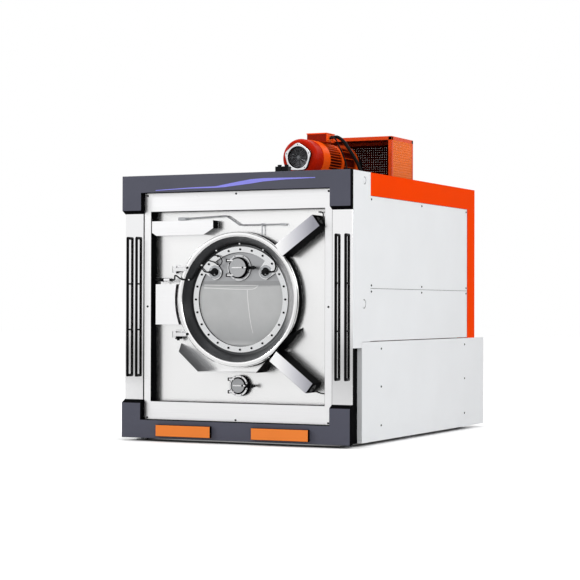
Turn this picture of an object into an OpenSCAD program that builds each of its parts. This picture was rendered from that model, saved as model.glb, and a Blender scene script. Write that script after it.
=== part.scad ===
// Front-loading garment dyeing machine: a horizontal drum in a closed tub, a dished glass door
// with a sampling hatch, two pneumatic door clamps, and a belt drive from a motor on the roof.
// Millimetres. X runs across the front, Y runs back from the front, Z is up from the floor.

/* [Overall] */
// Width across the front frame
frame_w = 2500; // [2460:10:2600]
// Height of the frame above the floor
frame_h = 2644; // [2630:2:2700]
// Depth of the frame behind its front faces
frame_d = 3440; // [3400:10:3600]
// Gap under the base frame, filled by the levelling feet
foot_h = 30; // [24:1:60]
// Depth of the front fascias
fascia_d = 73; // [66:1:80]
// Wall of the folded fascias and covers
sheet = 3; // [2:0.5:4]

/* [Front fascias] */
// Height of the top band
top_band = 170; // [160:2:180]
// Height of the bottom band
bottom_band = 182; // [170:2:190]
// Width of the corner caps
cap_w = 216; // [200:2:225]
// How far the upper corner caps come down from the top
cap_drop = 366; // [300:2:420]
// How far the lower corner caps rise from the base
cap_rise = 379; // [300:2:420]
// Height of the bevel that each cap ends in
cap_bevel = 34; // [10:1:50]
// Width of each fork pocket cover
pocket_w = 615; // [500:5:640]
// Height of each fork pocket cover
pocket_h = 108; // [90:2:130]
// How far the fork pocket covers stand out
pocket_out = 40; // [20:1:50]

/* [Surround and corner columns] */
// Width of the stainless surround's face on each side of its opening
surround_side = 73; // [70:1:80]
// Height of the surround's opening edge below the top band
surround_top = 187; // [185:1:220]
// Height of the opening's lower edge
opening_z = 393; // [380:1:410]
// Width of the structural posts
post_w = 170; // [150:2:190]
// Depth of the structural posts
post_d = 415; // [380:5:450]
// How far the column covers stand in front of the posts
column_step = 13; // [10:1:20]
// Diameter of the rub rails
rail_dia = 28; // [22:1:34]
// Length of the rub rails
rail_len = 1402; // [1200:2:1500]
// Distance between the two rails of a column
rail_pitch = 102; // [80:1:120]
// Height where the white corner claddings begin
cladding_z = 947; // [900:1:990]

/* [Side covers] */
// Height of the orange side beams
side_beam_h = 224; // [200:2:244]
// Depth of the rear columns
rear_column_d = 227; // [200:1:260]
// Height of the split between the side panels
panel_split_z = 1520; // [1400:2:1700]
// Top of the lower side boxes
side_box_h = 1002; // [960:1:1004]
// How far the lower side boxes reach behind the frame
side_box_over = 300; // [100:10:400]
// How far the side boxes and panels stand off
cover_off = 50; // [46:1:60]

/* [Door] */
// Height of the door and drum axis
axis_z = 1411; // [1400:1:1420]
// Outer radius of the door's rim
rim_r = 666; // [650:1:668]
// Radius where the dished cone starts
cone_front_r = 624; // [610:1:630]
// Radius where the dished cone ends
cone_back_r = 545; // [540:1:560]
// Depth of the door's rim
rim_d = 93; // [85:1:98]
// Wall of the pressed door
rim_wall = 8; // [5:0.5:10]
// Outer radius of the bolted glass ring
ring_r = 529; // [524:1:532]
// Inner radius of the bolted glass ring
ring_in_r = 467; // [455:1:472]
// Number of glass ring bolts
ring_bolts = 24; // [12:4:36]
// Height of the steel hatch plate's lower edge above the axis
plate_edge = 182; // [160:2:190]
// Distance of the hinge axis from the door's centre
hinge_x = 700; // [698:1:710]

/* [Portholes] */
// Outer radius of the sampling hatch's frame
hatch_r = 120; // [110:1:122]
// Height of the sampling hatch above the door's centre
hatch_up = 311; // [308:1:316]
// Outer radius of the lower port's frame
port_r = 103; // [95:1:110]
// Height of the lower port's centre
port_z = 566; // [550:1:572]
// Diameter of the hinge pins of both portholes
small_pin = 12; // [10:1:14]
// Distance of a latch knob from the porthole's edge
latch_reach = 62; // [40:1:66]

/* [Door clamps] */
// Length of a clamp's cover
clamp_len = 490; // [450:5:490]
// Width of a clamp's cover
clamp_w = 125; // [118:1:126]
// How far the clamp covers and the drip tray stand out from the tub's front
clamp_out = 204; // [190:1:206]
// Diameter of a clamp's piston rod
rod_dia = 24; // [20:1:28]
// Stroke of a clamp
clamp_stroke = 60; // [50:1:62]

/* [Tub and drum] */
// Distance of the tub's front plate behind the fascias
tub_y = 184; // [182:1:190]
// Outer radius of the tub
tub_r = 956; // [940:1:960]
// Length of the tub
tub_len = 1966; // [1940:2:1980]
// Wall of the tub
tub_wall = 6; // [4:0.5:8]
// Radius of the tub's mouth
mouth_r = 612; // [600:1:620]
// Outer radius of the drum
drum_r = 900; // [880:1:910]
// Length of the drum
drum_len = 1700; // [1660:2:1710]
// Radius of the drum's mouth
drum_mouth_r = 585; // [560:1:595]
// Rows of drum perforations
hole_rows = 5; // [3:1:8]
// Perforations across one panel of the drum in a row
panel_holes = 3; // [1:1:5]
// Radius of the drum shaft
shaft_r = 85; // [70:1:95]

/* [Drive] */
// Height of the motor's shaft above the frame
motor_up = 262; // [256:1:272]
// Distance of the fan cowl's face behind the front
motor_y = 1500; // [1480:5:1520]
// Radius of the motor's cowl
cowl_r = 200; // [190:1:204]
// Number of cooling fins around the stator
fins = 40; // [24:4:48]
// Outer radius of the drum pulley
big_pulley_r = 550; // [500:1:560]
// Outer radius of the motor pulley
small_pulley_r = 140; // [130:1:150]
// Number of belts
belts = 6; // [3:1:7]
// Distance between belts
belt_pitch = 25; // [22:0.5:26]
// Right side of the belt guard
guard_right = 659; // [600:1:680]
// Left side of the belt guard
guard_left = 420; // [380:1:440]
// Depth of the belt guard
guard_d = 620; // [560:5:640]
// Height of the belt guard above the frame
guard_h = 546; // [516:1:552]
// Distance between perforations of the guard
mesh_pitch = 52; // [44:1:80]

/* [Hidden] */
$fn = 96;

slate = [0.27, 0.27, 0.32];
orange = [0.95, 0.30, 0.10];
white_paint = [0.88, 0.89, 0.90];
stainless = [0.76, 0.77, 0.79];
dark_steel = [0.20, 0.20, 0.22];
black_rubber = [0.06, 0.06, 0.07];
glass_tint = [0.60, 0.64, 0.67, 0.5];

half_w = frame_w / 2;
base_top = foot_h + bottom_band;
seat_gap = 0.3;
// Seam between tubes, plates and castings that are joined to each other
seam = 0.3;
fold = sheet + 1;
post_out = half_w - cover_off;
post_in = post_out - post_w;
post_back = fascia_d + post_d;
surround_y = fascia_d - sheet;
column_face = fascia_d - column_step;
cap_in = half_w - cap_w;
upper_cap_z = frame_h - cap_drop;
lower_cap_z = foot_h + cap_rise;
top_band_z = frame_h - top_band;
deck_t = 6;
deck_z = frame_h - 14;
deck_top = deck_z + deck_t;
opening_w = 2 * (post_in - surround_side);
opening_top = top_band_z - surround_top;
recess_x = opening_w / 2;
recess_top = opening_top - axis_z;
side_beam_z = frame_h - side_beam_h;
flange_lap = 15;
rear_column_y = frame_d - rear_column_d;
side_box_end = frame_d + side_box_over;
side_box_y = 286;
rear_beam_d = 140;
panel_depth = 25;
panel_gap = 3;
panel_seat = half_w - 31;
bar_t = 6;
bar_w = 40;
base_beam_w = 150;
pocket_xs = [-547, 511];
pocket_z = foot_h + 24;
beam_wall = 8;
cradle_ys = [1100, 2050];
cradle_d = 100;
// The model stands with the middle of its outline over the origin
front_most = -pocket_out;
mid_y = (front_most + side_box_end) / 2;

plate_t = 6;
tub_back = tub_y + plate_t + tub_len;
rim_back = tub_y - 6;
rim_y = rim_back - rim_d;
glass_y = rim_back - 2;
ring_t = 8;
glass_t = 12;
ring_y = glass_y - ring_t;
bolt_circle = (ring_r + ring_in_r) / 2;
lamp_x = 280;
lamp_up = 270;
lobe_r = 76;
hinge_y = rim_y + 15;
hinge_ups = [297, -348];
hinge_pin_r = 12;
hinge_r = 24;
run_gap = 0.05;

drum_y = tub_y + 66;
drum_wall = 4;
drum_back = drum_y + drum_len;
back_plate_t = 12;
housing_y = tub_back + back_plate_t;
housing_len = 438;
housing_end = housing_y + housing_len;
bearing_r = 150;
bearing_w = 70;
pulley_y = housing_end + 90;
pulley_w = belts * belt_pitch + 10;
shaft_end = pulley_y + pulley_w + 20;
groove_w = 13.4;
belt_w = 12.4;
belt_t = 11;
groove_depth = 11.5;

motor_z = frame_h + motor_up;
guard_top = frame_h + guard_h;
cowl_len = 190;
shield_len = 168;
stator_y = motor_y + cowl_len + shield_len;
stator_len = 322;
stator_end = stator_y + stator_len;
neck_len = 380;
flange_y = stator_end + neck_len;
motor_foot_z = motor_z - 200;
motor_shaft_r = 30;
box_seat_z = motor_z + 194;
guard_y = motor_y + 950;

// Each clamp is [across, above the door's centre, angle of its axis] at its cover's inner end
clamp_places = [[504, 467, 36], [447, -547, -38]];
clamp_y = 60;
cylinder_r = 42;
pad_len = 110;
pad_t = 10;
tray_left_angle = 138;
tray_right_angle = 47;
tray_bottom = -708;
tray_t = 4;
tray_clear = rim_r + 12;
tray_corner_left = -367;

// Routes of the hoses and leads that the machine holds, in place
lead_in = [[-945, 183.7, 1606], [-945, 164, 1606], [-938, 130, 1606], [-920, 100, 1606],
  [-896, 84, 1606], [-872, 80, 1606]];
lead_hinge = [[-720, 80, 1606], [-710, 82, 1606], [-702, 90, 1608], [-700, 97, 1614],
  [-700, 100, 1622], [-700, 100, 1630]];
lead_door = [[-700, 100, 1630.4], [-700, 100, 1636], [-697, 96, 1644], [-688, 84, 1648],
  [-672, 70, 1648], [-652, 64, 1640], [-630, 66, 1624], [-606, 70, 1610], [-582, 80, 1606],
  [-553, 114, 1606], [-532, 136, 1608], [-517, 146, 1622], [-494, 150, 1652],
  [-462, 152, 1700], [-424, 152, 1752], [-380, 152, 1804], [-322, 152, 1856],
  [-258, 152, 1894], [-180, 152, 1930], [-90, 152, 1952], [0, 152, 1958], [90, 152, 1952],
  [180, 152, 1930], [258, 152, 1894], [322, 152, 1850], [370, 150, 1800], [394, 146, 1750],
  [396, 140, 1712], [384, 137, 1688], [364, 136, 1681], [338.4, 136, 1681]];
lead_left_lamp = [[-338.4, 136, 1681], [-366, 136, 1681], [-390, 138, 1690], [-406, 142, 1706],
  [-416, 147, 1718], [-424.5, 151, 1727]];
hose_upper = [[904.8, 60, 2169.2], [917.7, 60, 2178.6], [932, 62, 2192], [938, 70, 2212],
  [930, 82, 2234], [908, 100, 2248], [880, 124, 2252], [858, 144, 2252], [852, 160, 2252],
  [852, 183.7, 2252]];
hose_lower = [[837.4, 60, 558.9], [850, 60, 549], [868, 62, 534], [892, 72, 522],
  [916, 92, 513], [930, 120, 510], [934, 150, 510], [934, 183.7, 510]];
motor_hose = [[186.4, 1980, 3152], [230, 1980, 3152], [290, 1984, 3112], [344, 1988, 3040],
  [400, 1992, 2960], [452, 1996, 2870], [490, 2000, 2780], [508, 2000, 2700], [508, 2000, 2652]];
motor_lead = [[186.4, 1940, 3140], [206, 1940, 3140], [226, 1940, 3124], [262, 1944, 3050], [304, 1948, 2960],
  [340, 1950, 2860], [356, 1950, 2740], [356, 1950, 2652]];

// Box between two corners
module span(from, to) {
  translate(from) cube(to - from);
}

// Extrudes a drawing of [Y, Z] along X
module prism_x(x0, x1) {
  translate([x0, 0, 0]) rotate([90, 0, 90]) linear_extrude(x1 - x0) children();
}

// Extrudes a drawing of [X, Z] along Y
module prism_y(y0, y1) {
  translate([0, y1, 0]) rotate([90, 0, 0]) linear_extrude(y1 - y0) children();
}

module rod_y(x, z, r, y0, y1) {
  translate([x, y0, z]) rotate([-90, 0, 0]) cylinder(r = r, h = y1 - y0);
}

module rod_x(y, z, r, x0, x1) {
  translate([x0, y, z]) rotate([0, 90, 0]) cylinder(r = r, h = x1 - x0);
}

module both_sides() {
  children();
  mirror([1, 0, 0]) children();
}

// Revolves a drawing of [radius, depth] about the drum's axis, or another that runs back
module revolve_y(x = 0, z = axis_z) {
  translate([x, 0, z]) rotate([-90, 0, 0]) rotate_extrude() children();
}

// Hollow rectangular tube, open at the two ends along one axis
module tube_box(from, to, wall, along) {
  inset = [for (i = [0:2]) i == along ? -1 : wall];
  difference() {
    span(from, to);
    span(from + inset, to - inset);
  }
}

// Direction of a path at one of its points
function unit(v) = v / norm(v);
function heading(path, i) =
  unit(path[min(i + 1, len(path) - 1)] - path[max(i - 1, 0)]);

// One ring of a round tube, square to the path, and the tube through all rings
function tube_ring(centre, dir, r, n, up) =
  let (side = unit(cross(dir, up)), top = cross(side, dir))
  [for (k = [0:n - 1]) centre + r * (cos(360 * k / n) * side + sin(360 * k / n) * top)];
module swept_tube(path, r, up = [0.1, 0.9, 0.2], n = 8) {
  rings = len(path);
  points = [for (i = [0:rings - 1]) each tube_ring(path[i], heading(path, i), r, n, up)];
  walls = [for (i = [0:rings - 2], k = [0:n - 1], half = [0, 1])
    let (a = i * n + k, b = i * n + (k + 1) % n)
    half == 0 ? [a, b, b + n] : [a, b + n, a + n]];
  ends = [[for (k = [n - 1:-1:0]) k], [for (k = [0:n - 1]) (rings - 1) * n + k]];
  polyhedron(points, concat(walls, ends));
}

// Base frame

module base_frame() {
  x1 = post_out - base_beam_w - seam;
  color(dark_steel) {
    both_sides() tube_box([post_out - base_beam_w, fascia_d, foot_h],
      [post_out, frame_d, base_top], beam_wall, 1);
    difference() {
      tube_box([-x1, fascia_d, foot_h], [x1, fascia_d + 200, base_top], beam_wall, 0);
      fork_pockets();
    }
    tube_box([-x1, frame_d - 200, foot_h], [x1, frame_d, base_top], beam_wall, 0);
    for (y = cradle_ys) {
      tube_box([-x1, y, foot_h], [x1, y + cradle_d, base_top], beam_wall, 0);
      cradle(y);
    }
  }
}

// Saddle plate that the tub lies in
module cradle(y) {
  difference() {
    prism_y(y + 30, y + cradle_d - 30) polygon([[-700, base_top + seam],
      [700, base_top + seam], [620, 760], [-620, 760]]);
    rod_y(0, axis_z, tub_r + seat_gap, y, y + cradle_d);
    span([-drain_r - 14, y, drain_z - drain_r - 14], [drain_r + 14, y + cradle_d, axis_z]);
  }
}

module levelling_feet() {
  color(dark_steel)
  for (side = [-1, 1], y = [fascia_d + 127, frame_d / 2, frame_d - 140])
    translate([side * (post_out - base_beam_w / 2), y, 0]) {
      cylinder(r = 60, h = 8);
      translate([0, 0, 8]) cylinder(r = 14, h = foot_h - 8);
      translate([0, 0, foot_h - 12]) cylinder(r = 24, h = 12, $fn = 6);
    }
}

// Posts and top beam behind the front, with the flange that the surround is screwed to
module front_portal() {
  beam_z = top_band_z - 34;
  lap_x = opening_w / 2 + flange_lap;
  back = fascia_d + bar_t;
  color(dark_steel) {
    both_sides() tube_box([post_in, fascia_d, base_top], [post_out, post_back, deck_z],
      beam_wall, 2);
    tube_box([-post_in + seam, fascia_d, beam_z], [post_in - seam, fascia_d + 200, deck_z],
      beam_wall, 0);
    both_sides() span([lap_x, fascia_d, base_top], [post_in - seam, back, beam_z - seam]);
    for (zs = [[base_top, opening_z - flange_lap], [opening_top + flange_lap, beam_z - seam]])
      span([seam - lap_x, fascia_d, zs[0]], [lap_x - seam, back, zs[1]]);
  }
}

// Fork pockets through the lower fascia and the front beam
module fork_pockets() {
  for (x = pocket_xs) span([x - pocket_w / 2 + 25, -1, pocket_z + 12],
    [x + pocket_w / 2 - 25, fascia_d + 201, pocket_z + pocket_h - 12]);
}

// Outline of a fascia's band and caps, smaller by t on every side
module fascia_body(band0, band1, cap_edge, cap_back, cap_far, t) {
  low = min(band0, band1) + t;
  high = max(band0, band1) - t;
  back = t > 0 ? fascia_d + 1 : fascia_d;
  shrink = cap_edge > cap_far ? -t : t;
  span([-half_w + t, t, low], [half_w - t, back, high]);
  both_sides() prism_x(cap_in + t, half_w - t)
    polygon([[t, cap_far - shrink], [back, cap_far - shrink],
      [back, cap_back + shrink], [t, cap_edge + shrink]]);
}

module lower_fascia() {
  color(slate) difference() {
    fascia_body(foot_h, base_top, lower_cap_z, lower_cap_z + cap_bevel, foot_h, 0);
    fascia_body(foot_h, base_top, lower_cap_z, lower_cap_z + cap_bevel, foot_h, fold);
    fork_pockets();
  }
}

module upper_fascia() {
  color(slate) difference() {
    fascia_body(top_band_z, frame_h, upper_cap_z, upper_cap_z - cap_bevel, frame_h, 0);
    fascia_body(top_band_z, frame_h, upper_cap_z, upper_cap_z - cap_bevel, frame_h, fold);
  }
}

module fork_pocket_covers() {
  color(orange) for (x = pocket_xs) difference() {
    span([x - pocket_w / 2, -pocket_out, pocket_z],
      [x + pocket_w / 2, 0, pocket_z + pocket_h]);
    span([x - pocket_w / 2 + sheet, sheet - pocket_out, pocket_z + sheet],
      [x + pocket_w / 2 - sheet, 1, pocket_z + pocket_h - sheet]);
  }
}

// Front columns, rails and surround

module column_covers() {
  x0 = cap_in + 4;
  x1 = half_w - 3;
  low = lower_cap_z + cap_bevel;
  high = upper_cap_z - cap_bevel;
  corner = column_step - sheet;
  color(stainless) both_sides() translate([x0, column_face, low])
    linear_extrude(high - low) difference() {
      round_corner(x1 - x0, column_step, corner);
      translate([sheet, sheet]) round_corner(x1 - x0 - 2 * sheet, column_step, corner - sheet);
    }
}

module rub_rails() {
  rail_out = 42;
  rail_y = column_face - rail_out;
  mid_z = (lower_cap_z + upper_cap_z) / 2 - 6;
  color(black_rubber) for (side = [-1, 1], k = [-0.5, 0.5]) {
    x = side * (half_w - cap_w / 2 + 2) + k * rail_pitch;
    translate([x, rail_y, mid_z - rail_len / 2 + rail_dia / 2]) {
      cylinder(d = rail_dia, h = rail_len - rail_dia, $fn = 24);
      for (z = [0, rail_len - rail_dia]) translate([0, 0, z]) {
        sphere(d = rail_dia, $fn = 24);
        rotate([-90, 0, 0]) cylinder(d = rail_dia, h = rail_out, $fn = 24);
      }
      for (t = [1, 2]) translate([0, 0, t * (rail_len - rail_dia) / 3])
        rotate([-90, 0, 0]) cylinder(d = 16, h = rail_out, $fn = 24);
    }
  }
}

module front_surround() {
  x1 = post_in;
  low = base_top + 4;
  high = top_band_z - 4;
  color(stainless) difference() {
    union() {
      span([-x1, surround_y, low], [x1, fascia_d, high]);
      span([-opening_w / 2 - sheet, surround_y, opening_z - sheet],
        [opening_w / 2 + sheet, surround_y + 25, opening_top + sheet]);
    }
    span([-opening_w / 2, 0, opening_z], [opening_w / 2, tub_y, opening_top]);
  }
}

// Rectangle w by d whose corner at (w, 0) is rounded
module round_corner(w, d, r) {
  translate([0, r]) square([w, d - r]);
  square([w - r, r + 1]);
  intersection() {
    translate([w - r, r]) circle(r = r);
    translate([w - r - 1, 0]) square(r + 1);
  }
}

// Sheet of thickness t folded along that outline, open on its left
module folded_corner(w, d, r, t) {
  difference() {
    round_corner(w, d, r);
    translate([-1, t]) round_corner(w + 1 - t, d - 2 * t, r - t);
  }
}

// Folded white sheet over the outer side of each post, with two lifting holes
module corner_claddings() {
  color(white_paint) both_sides() difference() {
    translate([post_out, fascia_d, cladding_z]) linear_extrude(frame_h - cladding_z)
      folded_corner(cover_off, post_d, 30, fold);
    span([post_out - 1, side_box_y - 3, cladding_z - 1],
      [half_w + 1, post_back + 1, side_box_h + 3]);
    rod_x(342, 2557, 37.5, post_out + 1, half_w + 1);
    rod_x(336, 1370, 45, post_out + 1, half_w + 1);
  }
}

// Rear frame, side covers and roof

module rear_frame() {
  x0 = half_w - 80;
  x1 = x0 - seam;
  bar_x = panel_seat - bar_t;
  under = side_beam_z - seam;
  color(orange) {
    both_sides() {
      tube_box([x0, post_back, side_beam_z], [half_w, frame_d, frame_h], beam_wall, 1);
      tube_box([half_w - 120, rear_column_y, base_top], [post_out, frame_d, side_box_h - seam],
        beam_wall, 2);
      tube_box([half_w - 120, rear_column_y, side_box_h], [half_w, frame_d, under],
        beam_wall, 2);
      for (y = [post_back + seam, rear_column_y - bar_w - seam])
        span([bar_x, y, side_box_h + 6], [panel_seat, y + bar_w, under]);
      for (zs = [[side_box_h + 6, side_box_h + 6 + bar_w], [panel_split_z - bar_w,
        panel_split_z + bar_w], [under - bar_w, under]])
        span([bar_x, post_back + bar_w + 2 * seam, zs[0]],
          [panel_seat, rear_column_y - bar_w - 2 * seam, zs[1]]);
    }
    tube_box([-x1, frame_d - rear_beam_d, frame_h - 164], [x1, frame_d, frame_h], beam_wall, 0);
    for (y = [stator_y - 180, stator_end + 120])
      tube_box([-x1, y, deck_z - 150], [x1, y + 100, deck_z], beam_wall, 0);
  }
}

// Folded panel that lies on the side frame's bars
module side_panel(z0, z1) {
  face_x = panel_seat + panel_depth;
  difference() {
    span([panel_seat, post_back + 6, z0], [face_x, rear_column_y - 2, z1]);
    span([panel_seat - 1, post_back + 6 + sheet, z0 + sheet],
      [face_x - sheet, rear_column_y - 2 - sheet, z1 - sheet]);
  }
}

module upper_side_panels() {
  color(white_paint) both_sides() side_panel(panel_split_z + panel_gap / 2, side_beam_z - 2);
}

module lower_side_panels() {
  color(white_paint) both_sides() side_panel(side_box_h + 8, panel_split_z - panel_gap / 2);
}

// Deep folded box that covers the lower part of a side and the pipework behind the frame
module side_box() {
  y0 = side_box_y;
  low = foot_h + 3;
  color(white_paint) difference() {
    span([post_out, y0, low], [half_w, side_box_end, side_box_h]);
    span([post_out - 1, y0 + fold, low + fold],
      [half_w - fold, side_box_end - fold, side_box_h - fold]);
  }
}

module side_box_left() mirror([1, 0, 0]) side_box();
module side_box_right() side_box();

module slot_row(x0, x1, z, r) {
  translate([x0, z - r]) square([x1 - x0, 2 * r]);
  for (x = [x0, x1]) translate([x, z]) circle(r = r, $fn = 24);
}

module rear_panels() {
  half = half_w - 60;
  color(white_paint) for (zs = [[base_top + 18, panel_split_z - 122],
    [panel_split_z - 112, frame_h - 174]])
    prism_y(frame_d, frame_d + sheet) difference() {
      translate([-half, zs[0]]) square([2 * half, zs[1] - zs[0]]);
      for (side = [-1, 1], k = [0:5])
        slot_row(side * 560 - 170, side * 560 + 170, zs[1] - 160 - 36 * k, 8);
      if (zs[0] < port_z) translate([0, drain_z]) circle(r = drain_r + 12);
    }
}

module top_deck() {
  color(slate) difference() {
    span([-half_w + 80, fascia_d, deck_z], [half_w - 80, frame_d - rear_beam_d, deck_top]);
    span([-360, pulley_y - 30, deck_z - 1], [360, pulley_y + pulley_w + 30, deck_top + 1]);
  }
  color(dark_steel) for (p = [[motor_hose, 26], [motor_lead, 15]]) {
    end = p[0][len(p[0]) - 1];
    translate([end[0], end[1], deck_top]) cylinder(r = p[1], h = end[2] - seat_gap - deck_top);
  }
}

// Pan head screw with its head on a face that looks along dir
module screw_head(at, dir) {
  translate(at) rotate(dir) {
    cylinder(r = 10, h = 3);
    translate([0, 0, 3]) cylinder(r1 = 10, r2 = 6, h = 3);
  }
}

module panel_screws() {
  lap_x = (opening_w / 2 + post_in) / 2;
  face_x = panel_seat + panel_depth;
  ys = [post_back + 34, (post_back + rear_column_y) / 2, rear_column_y - 34];
  color(dark_steel) {
    for (x = [-lap_x, 0, lap_x], z = [base_top + 20, top_band_z - 28])
      screw_head([x, surround_y, z], [90, 0, 0]);
    for (x = [-lap_x, lap_x])
      screw_head([x, surround_y, (opening_z + opening_top) / 2], [90, 0, 0]);
    both_sides() {
      for (y = ys, z = [side_beam_z - 34, panel_split_z + 30, panel_split_z - 30])
        screw_head([face_x, y, z], [0, 90, 0]);
      for (y = [760, 3120], z = [180, 560, side_box_h - 70])
        screw_head([half_w, y, z], [0, 90, 0]);
    }
    for (x = [-half_w + 90, half_w - 90], z = [base_top + 60, panel_split_z - 160,
      panel_split_z - 70, frame_h - 220])
      screw_head([x, frame_d + sheet, z], [-90, 0, 0]);
  }
}

// Tub and what is fixed to its front

module tub_front_plate() {
  x1 = recess_x + 26;
  z0 = opening_z - 21;
  z1 = top_band_z - 40;
  color(stainless) difference() {
    prism_y(tub_y, tub_y + plate_t) translate([-x1, z0]) square([2 * x1, z1 - z0]);
    rod_y(0, axis_z, mouth_r, tub_y - 1, tub_y + plate_t + 1);
    rod_y(0, port_z, port_r * 0.62, tub_y - 1, tub_y + plate_t + 1);
  }
}

// Seams that part a ring about the drum's axis into equal plates
module plate_seams(count, turn, r0, r1, y0, y1) {
  for (k = [0:count - 1]) translate([0, 0, axis_z]) rotate([0, turn + 360 * k / count, 0])
    span([-seam / 2, y0 - 1, r0], [seam / 2, y1 + 1, r1]);
}

sump_y = 1300;
sump_len = 500;
sump_z = 300;
tub_plates = 12;
drain_r = 76;
drain_z = sump_z + 70;
module tub_shell() {
  y0 = tub_y + plate_t;
  y1 = tub_back - seam;
  color(stainless) {
    difference() {
      union() {
        revolve_y() translate([tub_r - tub_wall, y0]) square([tub_wall, y1 - y0]);
        revolve_y() translate([mouth_r, y0 + seam]) square([6, 40]);
      }
      plate_seams(tub_plates, 15, mouth_r - 10, tub_r + 10, y0, y1);
      span([-150, sump_y, sump_z], [150, sump_y + sump_len, axis_z - tub_r + 60]);
    }
    revolve_y() translate([shaft_r + 25, tub_back]) square([tub_r - shaft_r - 25, back_plate_t]);
    difference() {
      span([-150, sump_y, sump_z], [150, sump_y + sump_len, axis_z - tub_r + 40]);
      span([-144, sump_y + tub_wall, sump_z + tub_wall],
        [144, sump_y + sump_len - tub_wall, axis_z - tub_r + 60]);
      rod_y(0, axis_z, tub_r + seam, sump_y - 1, sump_y + sump_len + 1);
      rod_y(0, drain_z, 50, sump_y + sump_len - 10, sump_y + sump_len + 10);
    }
    for (a = [22.5:45:359]) translate([0, housing_y + seam, axis_z]) rotate([0, a, 0])
      translate([bearing_r + 200, 0, -6]) cube([tub_r - bearing_r - 220, 90, 12]);
  }
}

// Drain: elbow from the sump's rear wall and a run to a flange behind the machine
drain_end = frame_d + 160;
module drain_pipe() {
  y0 = sump_y + sump_len;
  z0 = drain_z;
  color(stainless) {
    difference() {
      union() {
        rod_y(0, z0, 50, y0, y0 + 60);
        rod_y(0, z0, 80, y0, y0 + 14);
        rod_y(0, z0, drain_r, y0 + 60, drain_end);
        rod_y(0, z0, 110, drain_end - 20, drain_end);
      }
      rod_y(0, z0, 44, y0 - 1, y0 + 70);
      rod_y(0, z0, drain_r - 4, y0 + 66, drain_end + 1);
      for (a = [0:90:270])
        rod_y(90 * cos(a + 45), z0 + 90 * sin(a + 45), 9, drain_end - 21, drain_end + 1);
    }
  }
}

// Section of the bent drip tray on the [X, Z] plane, below the door
function along(p, angle, len) = p + len * [cos(angle), sin(angle)];
tray_corner_right = (tray_clear + tray_bottom * cos(tray_right_angle)) / sin(tray_right_angle);
module tray_strip() {
  l0 = [tray_corner_left, tray_bottom];
  r0 = [tray_corner_right, tray_bottom];
  l1 = l0 - tray_t * [tan(90 - tray_left_angle / 2), 1];
  r1 = r0 + tray_t * [tan(tray_right_angle / 2), -1];
  polygon([l0, along(l0, tray_left_angle, 407), along(l1, tray_left_angle, 407), l1,
    r1, along(r1, tray_right_angle, 599), along(r0, tray_right_angle, 599), r0]);
}

module drip_tray() {
  front = tub_y - clamp_out;
  color(stainless) translate([0, 0, axis_z]) difference() {
    prism_y(front, tub_y) tray_strip();
    // The ends slope back, so that the front edges stop lower
    prism_x(-720, -560) polygon([[front - 1, -512], [front - 1, -400], [tub_y - 20, -400],
      [tub_y - 20, -440]]);
    prism_x(560, 760) polygon([[front - 1, -350], [front - 1, -240], [tub_y - 20, -240],
      [tub_y - 20, -272]]);
    clamp_frame(1) translate([-90, clamp_y - 28, -pad_len / 2 - 8])
      cube([130, 60, pad_len + 16]);
  }
}

// Axes of a clamp: X runs from the cover's inner end towards the door, Z lies across it
module clamp_frame(i) {
  c = clamp_places[i];
  translate([c[0], 0, c[1]]) rotate([0, 180 - c[2], 0]) children();
}

module clamp_covers() {
  color(stainless) translate([0, 0, axis_z]) for (i = [0, 1]) clamp_frame(i) difference() {
    translate([-clamp_len, tub_y - clamp_out, -clamp_w / 2])
      cube([clamp_len, clamp_out, clamp_w]);
    translate([sheet - clamp_len, tub_y - clamp_out + sheet, sheet - clamp_w / 2])
      cube([clamp_len - 2 * sheet, clamp_out, clamp_w - 2 * sheet]);
    rod_x(clamp_y, 0, rod_dia / 2 + 4, -10, 10);
    rod_x(clamp_y, 0, cylinder_r + 2, -clamp_len - 5, -clamp_len + 10);
  }
}

module clamp_cylinders() {
  color(black_rubber) translate([0, 0, axis_z]) for (i = [0, 1]) clamp_frame(i) difference() {
    union() {
      rod_x(clamp_y, 0, cylinder_r, -clamp_len - 5, -60);
      for (x = [-clamp_len + 60, -180])
        translate([x, clamp_y, -28]) cube([60, tub_y - clamp_y, 56]);
    }
    rod_x(clamp_y, 0, rod_dia / 2 + run_gap, -300, -50);
  }
}

module clamp_pad(i) {
  color(stainless) translate([0, 0, axis_z]) clamp_frame(i) {
    translate([1, clamp_y - 20, -pad_len / 2]) cube([pad_t, rim_y - clamp_y + 20 - seat_gap,
      pad_len]);
    rod_x(clamp_y, 0, rod_dia / 2, -200, 2);
  }
}

module clamp_pad_upper() clamp_pad(0);
module clamp_pad_lower() clamp_pad(1);

module clamp_hoses() {
  color(black_rubber) {
    swept_tube(hose_upper, 6);
    swept_tube(hose_lower, 6);
  }
}

// Cover of the door's hinge post, cut to follow the door's rim
module hinge_box_outline(t) {
  difference() {
    translate([48 - recess_x + t, -250 + t]) square([360, 401 - 2 * t]);
    circle(r = rim_r + 24 + t);
  }
}

module hinge_box() {
  color(stainless) translate([0, 0, axis_z]) difference() {
    prism_y(rim_y, tub_y) hinge_box_outline(0);
    prism_y(rim_y + sheet, tub_y + 1) hinge_box_outline(sheet);
  }
}

// Fixed ears of the door hinge with their pins
module hinge_brackets() {
  color(stainless) for (up = hinge_ups) translate([-hinge_x, 0, axis_z + up]) {
    for (z = [18.3, -32.3]) translate([0, 0, z]) {
      translate([0, hinge_y, 0]) cylinder(r = hinge_r, h = 14);
      translate([-hinge_r, hinge_y, 0]) cube([2 * hinge_r, tub_y - hinge_y, 14]);
    }
    translate([0, hinge_y, -36]) cylinder(r = hinge_pin_r - run_gap, h = 72);
    span([-hinge_r, tub_y - 12, -50], [hinge_r, tub_y, 50]);
  }
}

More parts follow.
